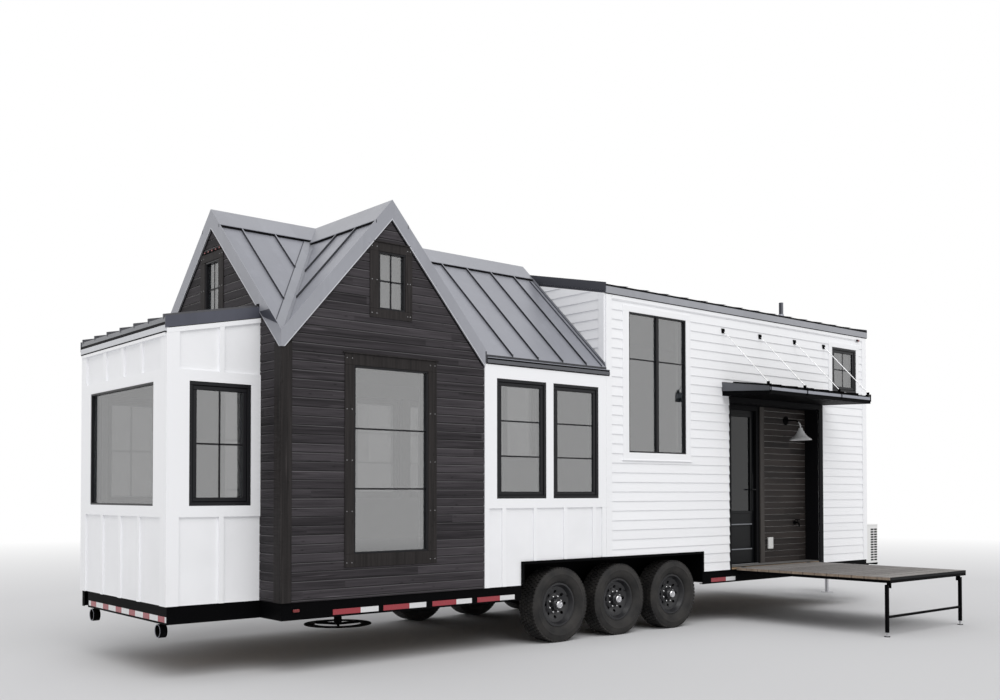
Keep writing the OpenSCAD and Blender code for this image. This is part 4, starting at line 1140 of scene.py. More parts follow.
@dataclass(frozen=True)
class WindowWork:
    """Frames, sashes, panes, bars, seals and casings of every window."""

    tall_casing: Opening = Opening(4.037, 5.152, 1.856, 3.510)
    loft_casing: Opening = Opening(7.94, 8.66, 2.76, 3.48)
    picture_casing: Opening = Opening(0.586, 1.564, 0.865, 2.698)
    light_casing: Opening = Opening(0.838, 1.288, 3.034, 3.700)
    rear_casing: Opening = Opening(1.065, 1.535, 3.034, 3.700)
    out: float = 0.012
    back: float = -0.078
    frame: float = 0.030
    sash: float = 0.034
    bar: float = 0.0075
    board: float = 0.018
    nail: float = 0.0038

    def windows(self) -> list[Window]:
        """Every window of the house."""
        found = [Window(BAY_END, BAY_WINDOW), Window(REAR, REAR_LIGHT, casing=self.rear_casing, cross=True)]
        found += [Window(wall, BAY_SIDE, True, cross=True) for wall in (BAY_NEAR, BAY_FAR)]
        for wall in (NEAR, FAR):
            found += [Window(wall, PICTURE, casing=self.picture_casing, rails=(1.537, 2.057)),
                      Window(wall, GABLE_LIGHT, casing=self.light_casing, cross=True),
                      Window(wall, TALL_WINDOW, casing=self.tall_casing, dark=False, rails=(2.944,),
                             mullion=0.021),
                      Window(wall, LOFT_WINDOW, True, self.loft_casing, False, cross=True)]
            found += [Window(wall, hole, True, rails=(1.855, 2.196)) for hole in LOW_PAIR]
        return found

    def build_frame(self, form: Form, seal: Form, rim: Form, window: Window) -> None:
        """Frames one window: a narrow stepped frame, or a frame with a sash and a seal in it."""
        wall, hole, plane, view = window.wall, window.hole, window.plane, window.view
        body, edge = (self.back, self.out), view.grown(0.001)
        if window.sashed:
            wall.ring(form, hole.grown(-self.frame), hole, body, EASED)
            wall.ring(seal, hole.grown(-0.0345), hole.grown(-0.0295), (-0.060, -0.004))
            wall.ring(form, view, hole.grown(-self.sash), (-0.060, 0.004), 0.003)
        else:
            wall.ring(form, view, hole, body, EASED)
            wall.ring(form, view.grown(-0.010), edge, (self.back, plane - 0.018), 0.001)
        wall.ring(rim, view.grown(-0.007), edge, (plane - 0.017, plane - 0.0065))
        if window.mullion:
            wall.slab(form, window.upright(window.mullion), (plane - 0.035, self.out - 0.004), 0.003)

    def build_bars(self, form: Form, window: Window) -> None:
        """Adds the bars in the glass."""
        view, depth = window.view, (window.plane - 0.001, window.plane + 0.002)
        rails = window.rails
        if window.cross:
            rails = ((view.sill + view.head) / 2,)
            window.wall.slab(form, window.upright(self.bar), depth)
        for z in rails:
            window.wall.slab(form, replace(view, sill=z - self.bar, head=z + self.bar), depth)

    def build_casing(self, form: Form, nails: Form, window: Window) -> None:
        """Frames the opening with flat boards and nails them."""
        wall, casing, hole = window.wall, window.casing, window.hole
        wall.ring(form, hole, casing, (0.0, self.board), EASED)
        if not window.dark:
            nose = Opening(casing.start - 0.012, casing.end + 0.012, casing.sill - 0.010, casing.sill + 0.002)
            wall.slab(form, nose, (0.0, 0.0265), EASED)
            return
        if wall is not REAR:
            cap = Opening(casing.start - 0.018, casing.end + 0.018, casing.head, casing.head + 0.011)
            wall.slab(form, cap, (0.0, 0.0275), EASED)
        height = casing.head - casing.sill
        steps = max(1, round(height / 0.42))
        for edge in (casing.start + 0.022, hole.start - 0.022, hole.end + 0.022, casing.end - 0.022):
            for step in range(steps + 1):
                z = casing.sill + 0.04 + step * (height - 0.08) / steps
                nails.ball(wall.place(edge, self.board - 0.0002, z), self.nail, 0.3, wall.outward(), 8)

    def build(self) -> None:
        """Builds every window."""
        frames, panes, bars, seals, rims, dark, white, nails = (Form(name) for name in (
            "window_frames_stepped", "window_panes", "window_bars", "window_seals", "pane_spacers",
            "dark_casings", "white_casings", "casing_nails"))
        for window in self.windows():
            self.build_frame(frames, seals, rims, window)
            self.build_bars(bars, window)
            window.wall.sheet(panes, window.view, [window.upright(window.mullion)] if window.mullion else [],
                              (window.plane - 0.006, window.plane))
            if window.casing:
                self.build_casing(dark if window.dark else white, nails, window)
        frames.finish(FRAME_BLACK, replaces=["window_frames"])
        panes.finish(GLASS, replaces=["window_glass"])
        for form, finish in ((bars, FRAME_BLACK), (seals, SEAL), (rims, ZINC), (dark, DARK_TRIM),
                             (white, WHITE_FLAT), (nails, ZINC)):
            form.finish(finish)


@dataclass(frozen=True)
class RoofDetail:
    """Valley flashings, lips, closures, drip edges, screws and the vent's collar."""

    lip: float = 0.012
    lip_out: Pair = (0.008, 0.0275)
    shadow: float = 0.034
    cover: float = 0.158
    cover_past: float = 0.028
    valley_main: float = 0.10
    valley_cross: float = 0.05
    valley_thick: float = 0.004
    closure: float = 0.170
    collar: tuple = ((0.031, -0.02), (0.11, -0.02), (0.105, 0.01), (0.05, 0.03), (0.036, 0.09), (0.031, 0.09))
    gables: tuple = ((NEAR, SHELL.cross), (FAR, SHELL.cross), (REAR, SHELL.main))
    peak: ClassVar[Vector] = Vector((SHELL.mid_x, SHELL.mid_y, SHELL.ridge))

    def valley(self, form: Form, sx: int, sy: int, inner: float, outer: float, thick: float) -> None:
        """Lays a strip along one valley on the main roof, between two distances across from its line."""
        foot = self.peak + Vector((sx * SHELL.mid_x, sy * SHELL.mid_y, SHELL.eave - SHELL.ridge))
        down = Vector((0, -sy, SHELL.main.fall))
        level = Vector((sx * SHELL.mid_x / SHELL.mid_y, 0, 0))
        form.prism([foot + inner * down, self.peak + inner * level, self.peak + outer * level,
                    foot + outer * down], (0, 0, thick))

    def valleys(self) -> None:
        """Lays a strip on both sides of each of the four valleys, with a dark strip beside the pans as
        painted shade.
        """
        form, edges = Form("valley_flashings"), Form("valley_shade_edges")
        for sx in (-1, 1):
            for sy in (-1, 1):
                self.valley(form, sx, sy, 0.0, self.valley_main, self.valley_thick)
                # Painted shade: a dark strip along the pans' edge at each valley.
                self.valley(edges, sx, sy, self.valley_main, self.valley_main + 0.012, 0.006)
                foot = Vector((SHELL.mid_x * (1 + sx), SHELL.mid_y * (1 + sy), SHELL.eave))
                low = Vector((foot.x - sx * self.valley_cross, foot.y, SHELL.cross.height(self.valley_cross)))
                high = self.peak + Vector((0, sy * self.valley_cross * SHELL.mid_y / SHELL.mid_x, 0))
                form.prism([foot, self.peak, high, low], (0, 0, self.valley_thick))
        form.finish(VALLEY_METAL)
        edges.finish(DARK_METAL)

    def closures(self) -> None:
        """Closes the pans under both wings of the ridge caps."""
        form = Form("ridge_closures")
        past, half = 0.03, 0.002
        main_cap, cross_cap = 0.12, 0.185
        for ridge, runs in ((SHELL.main, ((-past, SHELL.mid_x - main_cap),
                                          (SHELL.mid_x + main_cap, SHELL.tall_start - 0.002))),
                            (SHELL.cross, ((-past, SHELL.mid_y - cross_cap),
                                           (SHELL.mid_y + cross_cap, SHELL.width + past - 0.002)))):
            for side in (-1, 1):
                across = ridge.mid + side * self.closure
                z = ridge.height(across)
                for start, end in runs:
                    form.box(ridge.across.point(across - half, start, z - half),
                             ridge.across.point(across + half, end, z + 0.027))
        form.finish(BLACK_TRIM)

    @staticmethod
    def strip(form: Form, wall: Wall, low: Pair, high: Pair, height: float, out: Pair) -> None:
        """Adds a strip along a sloping line, with a plumb height and between two distances out."""
        corners = (low, high, (high[0], high[1] + height), (low[0], low[1] + height))
        form.prism([wall.place(a, out[0], z) for a, z in corners], wall.outward(out[1] - out[0]))

    def lips(self) -> None:
        """Runs a folded lip, painted pale as a highlight, under the flashings of the gables, and a shadow gap
        under the far half.
        """
        form, shadow, cover = Form("rake_lips"), Form("rake_shadow_gap"), Form("rear_rake_painted_shade")
        for wall, ridge in self.gables:
            top = SHELL.ridge + SHELL.rake_rise - SHELL.rake_height
            foot = top - ridge.mid * ridge.fall
            low, peak, far = (0.0, foot), (ridge.mid, top), (2 * ridge.mid, foot)
            self.strip(form, wall, low, peak, -self.lip, self.lip_out)
            self.strip(form, wall, far, peak, -self.lip, self.lip_out)
            self.strip(shadow, wall, far, peak, -self.shadow, (0.0, 0.0135))
            if wall is REAR:
                past = (-self.cover_past, foot - self.cover_past * ridge.fall)
                # Painted shade: a dark sheet over the rear rake's face, below the bay roof.
                self.strip(cover, wall, past, peak, self.cover, (0.0275, 0.0300))
        cover.clip((0, 0, 3.03), (0, 0, 1))
        cover.clip((0, 0, 2.88), (0, 0.35, -1))
        for part, finish in ((form, LIP_HIGHLIGHT), (shadow, BLACK_TRIM), (cover, DARK_METAL)):
            part.clip((0, 0, 2.702), (0, 0, -1))
            part.finish(finish)

    def eaves(self) -> None:
        """Folds the drip edges over the fascias of the low and the tall roof."""
        names = ("tall_eave_fascias", "eave_lips", "low_eave_fascias", "eave_shadow_gaps")
        grey, light, dull, black = (Form(name) for name in names)
        low = (SHELL.gable_end + 0.030, SHELL.tall_start + 0.045)
        tall = (SHELL.tall_start - 0.006, SHELL.length + 0.018)
        for wall in (NEAR, FAR):
            for form, run, sill, head, out in (
                    (light, low, 2.787, 2.793, (0.018, 0.0275)), (black, low, 2.772, 2.7865, (0.019, 0.0225)),
                    (dull, low, 2.738, 2.7715, (0.016, 0.0265)), (black, low, 2.728, 2.737, (0.0, 0.0205)),
                    (black, tall, 3.677, 3.697, (0.0195, 0.0265)),
                    (grey, tall, 3.604, 3.676, (0.016, 0.0265)),
                    (black, tall, 3.596, 3.603, (0.016, 0.0215))):
                wall.slab(form, Opening(*run, sill, head), out)
        for form, finish in ((grey, EAVE_METAL), (light, GREY_EDGE), (dull, LOW_EAVE), (black, BLACK_TRIM)):
            form.finish(finish)

    def screws(self) -> None:
        """Sets screw heads along the flashings."""
        form = Form("flashing_screws")
        for wall, ridge in self.gables:
            out = 0.0255 if wall is FAR else 0.028
            for side in (-1, 1):
                for step in range(1, 5):
                    across = step * ridge.mid / 4.4
                    z = SHELL.ridge + SHELL.rake_rise - across * ridge.fall - 0.135
                    if wall is not REAR or z >= SHELL.bay_top + 0.1:
                        form.ball(wall.place(ridge.mid + side * across, out, z), 0.006, 0.35, wall.outward())
        form.finish(GREY_EDGE)

    def step_flashing(self) -> None:
        """Seals the low roof against the end of the tall section, with a dark line at both sides."""
        grey, dark = Form("step_flashing"), Form("step_flashing_edges")
        start, past = 0.19, 0.018
        for side in (-1, 1):
            ends = (SHELL.mid_y + side * start, SHELL.mid_y + side * (SHELL.mid_y + past))
            for form, edge, wide, thick in ((grey, 0.064, 0.060, 0.010), (dark, 0.070, 0.007, 0.014),
                                            (grey, 0.018, 0.003, 0.045), (dark, 0.022, 0.005, 0.020)):
                a, b = (Vector((SHELL.tall_start - edge, y, SHELL.main.height(y) + 0.001)) for y in ends)
                rise = Vector((0, 0, thick))
                form.prism([a, b, b + rise, a + rise], (wide, 0, 0))
        grey.finish(VALLEY_METAL)
        dark.finish(DARK_METAL)

    def vent(self) -> None:
        """Seats a collar round the vent pipe."""
        form = Form("vent_collar")
        centre = (8.1, 0.82, SHELL.tall.height(0.82))
        form.revolve(self.collar, centre, (0, 0, 1), 32)
        form.finish(GREY_EDGE)

    def build(self) -> None:
        """Builds the small parts of the roofs."""
        self.valleys()
        self.closures()
        self.lips()
        self.eaves()
        self.screws()
        self.step_flashing()
        self.vent()


@dataclass(frozen=True)
class BayRoof:
    """The bay's lean-to roof: seamed panels, side flashings, a pale fascia and a pale frieze."""

    thick: float = 0.086
    plate: float = 0.006
    seam: float = 0.012
    first: float = 0.030
    pitch: float = 0.310

    @staticmethod
    def layer(form: Form, ends: Pair, sides: Pair, heights: Pair) -> None:
        """Adds a layer along the slope, between two ends, two sides and two heights over the panels."""
        corners = ((ends[0], heights[0]), (ends[1], heights[0]), (ends[1], heights[1]), (ends[0], heights[1]))
        form.prism([(x, sides[0], SHELL.bay_height(x) + height) for x, height in corners],
                   (0, sides[1] - sides[0], 0))

    def end_face(self, low: Vector, high: Vector) -> None:
        """Lays the lines, the fascia and the frieze across the low end."""
        black, pale, white = Form("bay_end_shadow_lines"), Form("bay_end_fascia"), Form("bay_end_frieze")
        wall = Wall(Axis.Y, low.x + self.plate, -1)
        for form, sill, head, back, short, inset in (
                (black, 2.838, 2.862, 0.0, 0.001, 0.0), (pale, 2.790, 2.8375, -0.030, 0.0, 0.0),
                (black, 2.780, 2.7895, -0.030, 0.003, 0.0), (white, 2.755, 2.7795, -0.034, 0.004, 0.012)):
            area = Opening(low.y + self.plate + inset, high.y - self.plate - inset, sill, head)
            wall.slab(form, area, (back, self.plate - short))
        for form, finish in ((black, BLACK_TRIM), (pale, PALE_FASCIA), (white, WHITE_FLAT)):
            form.finish(finish)

    def build(self) -> None:
        """Builds the roof of the bay."""
        low, high = span("bay_roof")
        panels, sides = Form("bay_roof_panels"), Form("bay_side_flashings")
        self.layer(panels, (low.x + self.plate, high.x), (low.y + self.plate, high.y - self.plate),
                   (-self.thick, -0.001))
        count = int((SHELL.bay_far - SHELL.bay_near - 2 * self.first) / self.pitch) + 1
        for number in range(count):
            y = SHELL.bay_near + self.first + number * self.pitch
            self.layer(panels, (low.x + 0.001, high.x), (y, y + self.seam), (-0.012, 0.027))
        panels.finish(BAY_METAL, replaces=["bay_roof"])
        for y in (low.y, high.y - self.plate):
            self.layer(sides, (low.x, high.x), (y, y + self.plate), (-self.thick, 0.007))
        sides.finish(BAY_FLASHING)
        self.end_face(low, high)


@dataclass(frozen=True)
class WellTrim:
    """The black steel bands round the wheel openings in the walls."""

    wide: float = 0.028
    out: float = 0.0225

    def build(self) -> None:
        """Builds both bands."""
        form = Form("wheel_opening_bands")
        outer = replace(WELL, sill=SHELL.base)
        hole = Opening(WELL.start + self.wide, WELL.end - self.wide, SHELL.base, WELL.head - self.wide)
        for wall in (NEAR, FAR):
            wall.ring(form, hole, outer, (0.0, self.out), EASED)
        form.finish(BLACK_STEEL)


@dataclass(frozen=True)
class Entry:
    """The recess: its boards, post, trims, door bead, outlet cover and tap."""

    course: Course = Course(BOARD_LINE, BOARD_PITCH, 0.010, 0.010, 0.006)
    post: Pair = (6.722, 6.806)
    foot: float = SHELL.base + 0.02
    mouth: Opening = Opening(5.860, 7.793, SHELL.base, 2.634)
    lining: float = 0.012
    outlet: Opening = Opening(6.868, 6.968, 0.800, 0.945)
    tap: Point = (7.456, SHELL.recess_depth - 0.010, 1.118)
    tap_flange: tuple = ((0.012, 0), (0.028, 0), (0.028, 0.006), (0.012, 0.006))
    tap_spout: tuple = ((0, -0.05, 0), (0, -0.068, -0.012), (0, -0.072, -0.05))
    tap_wheel: tuple = ((0.006, 0.033), (0.028, 0.033), (0.030, 0.038), (0.028, 0.043), (0.006, 0.043))
    ledges: tuple[float, ...] = (0.818, 1.122)

    def boards(self) -> None:
        """Clads the wall beside the door."""
        form, post = Form("recess_boards"), Form("door_post")
        head = SHELL.recess_head - 0.001
        RECESS.clad(form, Opening(self.post[1], SHELL.recess_end - 0.001, self.foot, head), [], self.course)
        # The boards in the recess are darkened as painted shade.
        form.finish(RECESS_WOOD_SHADED)
        RECESS.slab(post, Opening(*self.post, self.foot, head), (0.0, 0.02), 0.003)
        post.finish(POST_WOOD)

    def trims(self) -> None:
        """Lines the mouth of the recess in black."""
        form = Form("recess_trims")
        start, end, top = SHELL.recess_start, SHELL.recess_end, SHELL.recess_head
        NEAR.slab(form, replace(self.mouth, start=end), (0.0, 0.018), EASED)
        NEAR.slab(form, replace(self.mouth, end=start), (0.0, 0.018), EASED)
        NEAR.slab(form, replace(self.mouth, sill=top), (0.0, 0.016))
        for x in (start, end - self.lining):
            form.box((x, 0.0, self.foot + 0.001), (x + self.lining, SHELL.recess_depth - 0.011, top))
        form.box((start, 0.0, top - self.lining), (end, SHELL.recess_depth, top))
        form.finish(BLACK_TRIM)

    def fittings(self) -> None:
        """Fits the outlet cover and the garden tap."""
        cover, tap = Form("outlet_cover"), Form("garden_tap")
        RECESS.slab(cover, self.outlet, (0.010, 0.034), 0.006)
        cover.finish(PLASTIC)
        at = Vector(self.tap)
        stem = at + Vector((0, -0.045, 0))
        tap.rod(at, at + Vector((0, -0.055, 0)), 0.012)
        tap.revolve(self.tap_flange, at, (0, -1, 0), 24)
        tap.tube([at + Vector(step) for step in self.tap_spout], 0.010)
        tap.rod(stem, stem + Vector((0, 0, 0.035)), 0.006)
        tap.revolve(self.tap_wheel, stem, (0, 0, 1), 24)
        tap.finish(BLACK_STEEL)

    def door(self) -> None:
        """Beads the glass of the door, and gives it ledges in light grey as painted highlights, a floor cover
        before it and a sill.
        """
        low, high = span("door_glass")
        leaf_low, leaf_high = span("entry_door")
        glass, face = Opening(low.x, high.x, low.z, high.z), Wall(Axis.X, leaf_low.y, -1)
        form, ledges, cover, sill = (Form(name) for name in
                                     ("door_bead", "door_ledge_highlights", "recess_floor_cover", "door_sill"))
        face.ring(form, glass.grown(-0.016), glass.grown(0.014), (-0.012, 0.006), 0.003)
        form.finish(DOOR_BLACK, "door")
        for z in self.ledges:
            area = Opening(low.x - 0.014, high.x + 0.014, z - 0.014, z)
            face.slab(ledges, area, (-0.004, 0.009), EASED)
        ledges.finish(DOOR_LEDGE_HIGHLIGHT, "door")
        cover.box((SHELL.recess_start + 0.013, -0.004, 0.628),
                  (SHELL.recess_end - 0.013, SHELL.recess_depth - 0.021, 0.6335), 0.001)
        cover.finish(RECESS_FLOOR)
        sill.box((leaf_low.x - 0.004, SHELL.recess_depth - 0.02, 0.6225),
                 (leaf_high.x, leaf_low.y - 0.006, 0.6365), EASED)
        sill.finish(ZINC)

    def build(self) -> None:
        """Builds the entry."""
        self.boards()
        self.trims()
        self.fittings()
        self.door()


@dataclass(frozen=True)
class AwningDetail:
    """The silver front lip and the end flashings of the awning, and the stays that hold it."""

    drop: float = 0.090
    wall_top: float = 2.797
    end_heights: tuple[float, ...] = (2.702, 2.792, 2.690, 2.650)
    stays: tuple[float, ...] = (5.745, 6.46, 7.18, 7.828)
    stay_top: float = 3.395
    rod: float = 0.005

    def front_lip(self, low: Vector, high: Vector) -> None:
        """Folds the lip along the front edge, broken by the ends of the seams."""
        lip, seams = Form("awning_lip"), Form("awning_seam_ends")
        head = self.wall_top - self.drop
        lip.box((low.x + 0.004, low.y - 0.005, head - 0.052),
                (high.x - 0.004, low.y + 0.001, head - 0.016), EASED)
        x = low.x + 0.212
        while x < high.x:
            seams.box((x - 0.004, low.y - 0.006, head - 0.020),
                      (x + 0.014, low.y + 0.002, head + 0.018), EASED)
            x += 0.32
        lip.finish(GREY_EDGE)
        seams.finish(BLACK_STEEL)

    def ends(self, low: Vector, high: Vector) -> None:
        """Covers both ends with a paler plate over a black hem."""
        form = Form("awning_end_plates")
        depths = (low.y + 0.002, -0.001, -0.001, low.y + 0.002)
        for x, side in ((low.x, -1), (high.x, 1)):
            form.prism([(x, y, z) for y, z in zip(depths, self.end_heights)], (side * 0.004, 0, 0))
        form.finish(AWNING_END)

    def hang(self, low: Vector) -> None:
        """Hangs the awning from four rods with wall plates and straps."""
        rods, steel = Form("stay_rods"), Form("stay_plates")
        foot, up, half, front = low.y + 0.030, self.stay_top, 0.008, low.y - 0.010
        top = self.wall_top + foot * self.drop / 0.67
        wide, tall = 0.025, 0.027
        for x in self.stays:
            rods.rod((x, -0.016, up), (x, foot, top + 0.036), self.rod, sides=12)
            steel.box((x - wide, -0.022, up - tall), (x + wide, -0.001, up + tall), 0.003)
            steel.rod((x, -0.022, up), (x, -0.034, up), 0.010, sides=12)
            steel.box((x - half, front, top - 0.075), (x + half, low.y - 0.001, top + 0.012), EASED)
            steel.box((x - half, front, top), (x + half, foot + 0.03, top + 0.016), EASED)
            steel.box((x - 0.007, foot - 0.018, top), (x + 0.007, foot + 0.018, top + 0.045), 0.003)
            steel.rod((x - 0.013, foot, top + 0.034), (x + 0.013, foot, top + 0.034), 0.007, sides=6)
        rods.finish(STAINLESS, replaces=["awning_stays"])
        steel.finish(BLACK_STEEL)

    def build(self) -> None:
        """Builds the awning's trims and stays."""
        low, high = span("awning")
        self.front_lip(low, high)
        self.ends(low, high)
        self.hang(low)


@dataclass(frozen=True)
class BarnLamp:
    """The lamp beside the door: a wall plate, a gooseneck and a bell shade."""

    x: float = 7.275
    top: float = 2.420
    axis: float = -0.030
    bend: float = 0.100
    foot: float = 2.166
    bend_steps: int = 8
    arm_points: int = 6
    plate: tuple = ((0.0, 0.010), (0.055, 0.010), (0.055, 0.018), (0.030, 0.026), (0.014, 0.040),
                    (0.0, 0.040))
    bell: tuple = ((0.139, 0.002), (0.134, 0.010), (0.112, 0.026), (0.086, 0.046), (0.064, 0.068),
                   (0.050, 0.090), (0.042, 0.110), (0.030, 0.122), (0.024, 0.152))

    def gooseneck(self) -> list[Vector]:
        """The line of the arm, from the wall plate round the bend and down to the shade."""
        path = [Vector((self.x, SHELL.recess_depth - 0.03, self.top))]
        for step in range(self.bend_steps + 1):
            angle = math.pi / 2 * step / self.bend_steps
            path.append(Vector((self.x, self.axis + self.bend * (1 - math.sin(angle)),
                                self.top - self.bend * (1 - math.cos(angle)))))
        return [*path, Vector((self.x, self.axis, self.foot + 0.15))]

    def build(self) -> None:
        """Builds the lamp."""
        arm, shade, bulb = Form("lamp_arm"), Form("lamp_shade"), Form("lamp_bulb")
        path, foot = self.gooseneck(), Vector((self.x, self.axis, self.foot))
        arm.revolve(self.plate, (self.x, SHELL.recess_depth, self.top), (0, -1, 0), 32)
        arm.tube(path[:self.arm_points], 0.009, 12)
        arm.finish(BLACK_STEEL)
        inner = [(r - 0.005, h - 0.005) for r, h in self.bell[::-1]]
        crown = [(0.0, height) for height in (0.154, 0.146)]
        shade.revolve([*self.bell, *crown, *inner], foot, (0, 0, 1), 48)
        shade.tube(path[self.arm_points - 1:], 0.0095, 12)
        shade.finish(LAMP_GREY, replaces=["barn_lamp"])
        bulb.ball(foot + Vector((0, 0, 0.062)), 0.030, 1.2)
        start, end, radius = 0.080, 0.136, 0.016
        bulb.rod(foot + Vector((0, 0, start)), foot + Vector((0, 0, end)), radius)
        bulb.finish(PLASTIC)


@dataclass(frozen=True)
class DeckDetail:
    """Screws and bare ends of the boards, and the adjustable feet of the deck."""

    screw_edge: float = 0.025
    screw_steps: tuple = (0.43, 0.82, 1.21)

    def boards(self) -> None:
        """Screws the boards down and shows their bare ends."""
        low, high = span("deck_boards")
        pitch = (high.y - low.y + DECK_GAP) / DECK_ROWS
        screws, ends = Form("deck_screws"), Form("deck_board_ends")
        edge = self.screw_edge
        lines = (low.x + edge, *(low.x + step for step in self.screw_steps), high.x - edge)
        for row in range(DECK_ROWS):
            start = low.y + row * pitch
            for y in (start + 0.25 * pitch, start + 0.75 * pitch):
                for x in lines:
                    screws.rod((x, y, high.z - 0.004), (x, y, high.z + 0.0005), 0.0045, sides=6)
            for x, side in ((low.x, -1), (high.x, 1)):
                ends.box((x - side * 0.002, start + 0.001, high.z - 0.0275),
                         (x + side * 0.003, start + pitch - DECK_GAP - 0.001,
                          high.z - 0.0015), 0.001)
        screws.finish(BLACK_STEEL, "deck")
        ends.finish(BOARD_ENDS, "deck")

    def feet(self) -> None:
        """Puts a plate, a threaded stem and a nut under both legs."""
        form = Form("deck_feet")
        low, high = span("deck_legs")
        y = (low.y + high.y) / 2
        for x in (low.x + 0.031, high.x - 0.031):
            form.rod((x, y, 0.001), (x, y, 0.010), 0.0295, 0.020, 24)
            form.rod((x, y, 0.008), (x, y, 0.046), 0.0095, sides=12)
            form.rod((x, y, 0.026), (x, y, 0.036), 0.016, sides=6)
        form.finish(ZINC, "legs")

    def build(self) -> None:
        """Builds the small parts of the deck."""
        self.boards()
        self.feet()


@dataclass(frozen=True)
class TrailerDetail:
    """Tapes, lamps, rings under the bay and the round pad under the frame."""

    tape_z: float = 0.495
    tape_height: float = 0.046
    side_tapes: tuple = ((0.483, 0.943), (0.994, 1.457), (1.527, 1.985), (2.051, 2.516), (5.52, 5.97))
    bay_lengths: tuple = (0.054, *(0.136, 0.170) * 5, 0.136, 0.030)
    bar: Opening = Opening(1.085, 1.470, 3.702, 3.722)
    lamp: Opening = Opening(1.113, 1.137, 3.705, 3.719)
    marker: Opening = Opening(8.600, 8.634, 3.536, 3.562)
    marker_out: Pair = (0.018, 0.027)
    tube: float = 0.056
    tube_edge: tuple = ((0.050, 0.0), (0.055, -0.002), (0.055, -0.004), (0.049, -0.003))
    pad: ClassVar[Vector] = Vector((0.82, 0.47, 0.345))
    pad_ring: tuple = ((0.21, -0.02), (0.30, -0.02), (0.30, -0.012), (0.21, -0.012))

    def tape(self, red: Form, white: Form, wall: Wall, end: float, lengths: Sequence[float]) -> None:
        """Sticks a strip whose lengths alternate white and red, from its end back to its start."""
        for number, length in enumerate(lengths):
            area = Opening(end, end - length, self.tape_z - self.tape_height / 2,
                           self.tape_z + self.tape_height / 2)
            wall.slab(red if number % 2 else white, area, (0.0, 0.0015))
            end -= length

    def tapes(self) -> None:
        """Sticks the tapes along the sides and under the end of the bay."""
        red, white = Form("red_tape"), Form("white_tape")
        for wall in (NEAR, FAR):
            for start, end in self.side_tapes:
                whole = end - start
                self.tape(red, white, wall, end, (0.4 * whole, 0.6 * whole))
        self.tape(red, white, BAY_END, 2.12, self.bay_lengths)
        red.finish(RED_TAPE)
        white.finish(WHITE_TAPE)

    def lamps(self) -> None:
        """Fixes the marker lamps and the clearance lamps over the rear window."""
        red, base = Form("marker_lamps"), Form("lamp_bases")
        REAR.slab(base, self.bar, (0.010, 0.024), 0.003)
        for number in range(5):
            REAR.slab(red, self.lamp.moved(number * 0.076), (0.020, 0.028), 0.003)
        for wall in (NEAR, FAR):
            wall.slab(base, self.marker, self.marker_out, 0.003)
            wall.slab(red, self.marker.moved(self.marker.end - self.marker.start), self.marker_out, 0.003)
            wall.slab(red, Opening(0.10, 0.16, 0.52, 0.545), (0.0, 0.016), 0.005)
        red.finish(RED_LENS)
        base.finish(BLACK_STEEL)

    def corner_plates(self) -> None:
        """Closes the open ends of the channels at the rear corners and at the bay's corners."""
        form = Form("channel_corner_plates")
        for wall, corner, way in ((NEAR, 0.0, 1), (FAR, 0.0, 1), (REAR, 0.0, 1), (REAR, SHELL.width, -1),
                                  (BAY_NEAR, SHELL.bay_end, 1), (BAY_FAR, SHELL.bay_end, 1),
                                  (BAY_END, SHELL.bay_near, 1), (BAY_END, SHELL.bay_far, -1)):
            area = Opening(corner, corner + way * 0.055, SHELL.skirt_low + 0.001, SHELL.base - 0.001)
            wall.slab(form, area, (-0.004, 0.0008))
        form.finish(BLACK_STEEL)

    def rings(self) -> None:
        """Edges the open tubes at both ends of the bay's underside."""
        form = Form("tube_edges")
        low, high = span("tail_lights")
        for y in (low.y + self.tube, high.y - self.tube):
            form.revolve(self.tube_edge, (low.x + 0.001, y, low.z + self.tube), (1, 0, 0), 32)
        form.finish(GREY_EDGE)

    def hang_pad(self) -> None:
        """Hangs the flat round pad under the frame."""
        form = Form("round_pad")
        form.revolve(self.pad_ring, self.pad, (0, 0, 1), 48)
        hub = self.pad - Vector((0, 0, 0.016))
        for turn in range(3):
            angle = turn * math.tau / 3
            way = Vector((math.cos(angle), math.sin(angle), 0))
            form.rod(hub, hub + way * 0.22, 0.012, sides=8)
        foot, head = (self.pad + Vector((0, 0, height)) for height in (-0.02, 0.14))
        form.rod(foot, head, 0.035, sides=20)
        form.finish(BLACK_STEEL)

    def build(self) -> None:
        """Builds what is fixed to the chassis and the walls."""
        self.tapes()
        self.lamps()
        self.corner_plates()
        self.rings()
        self.hang_pad()


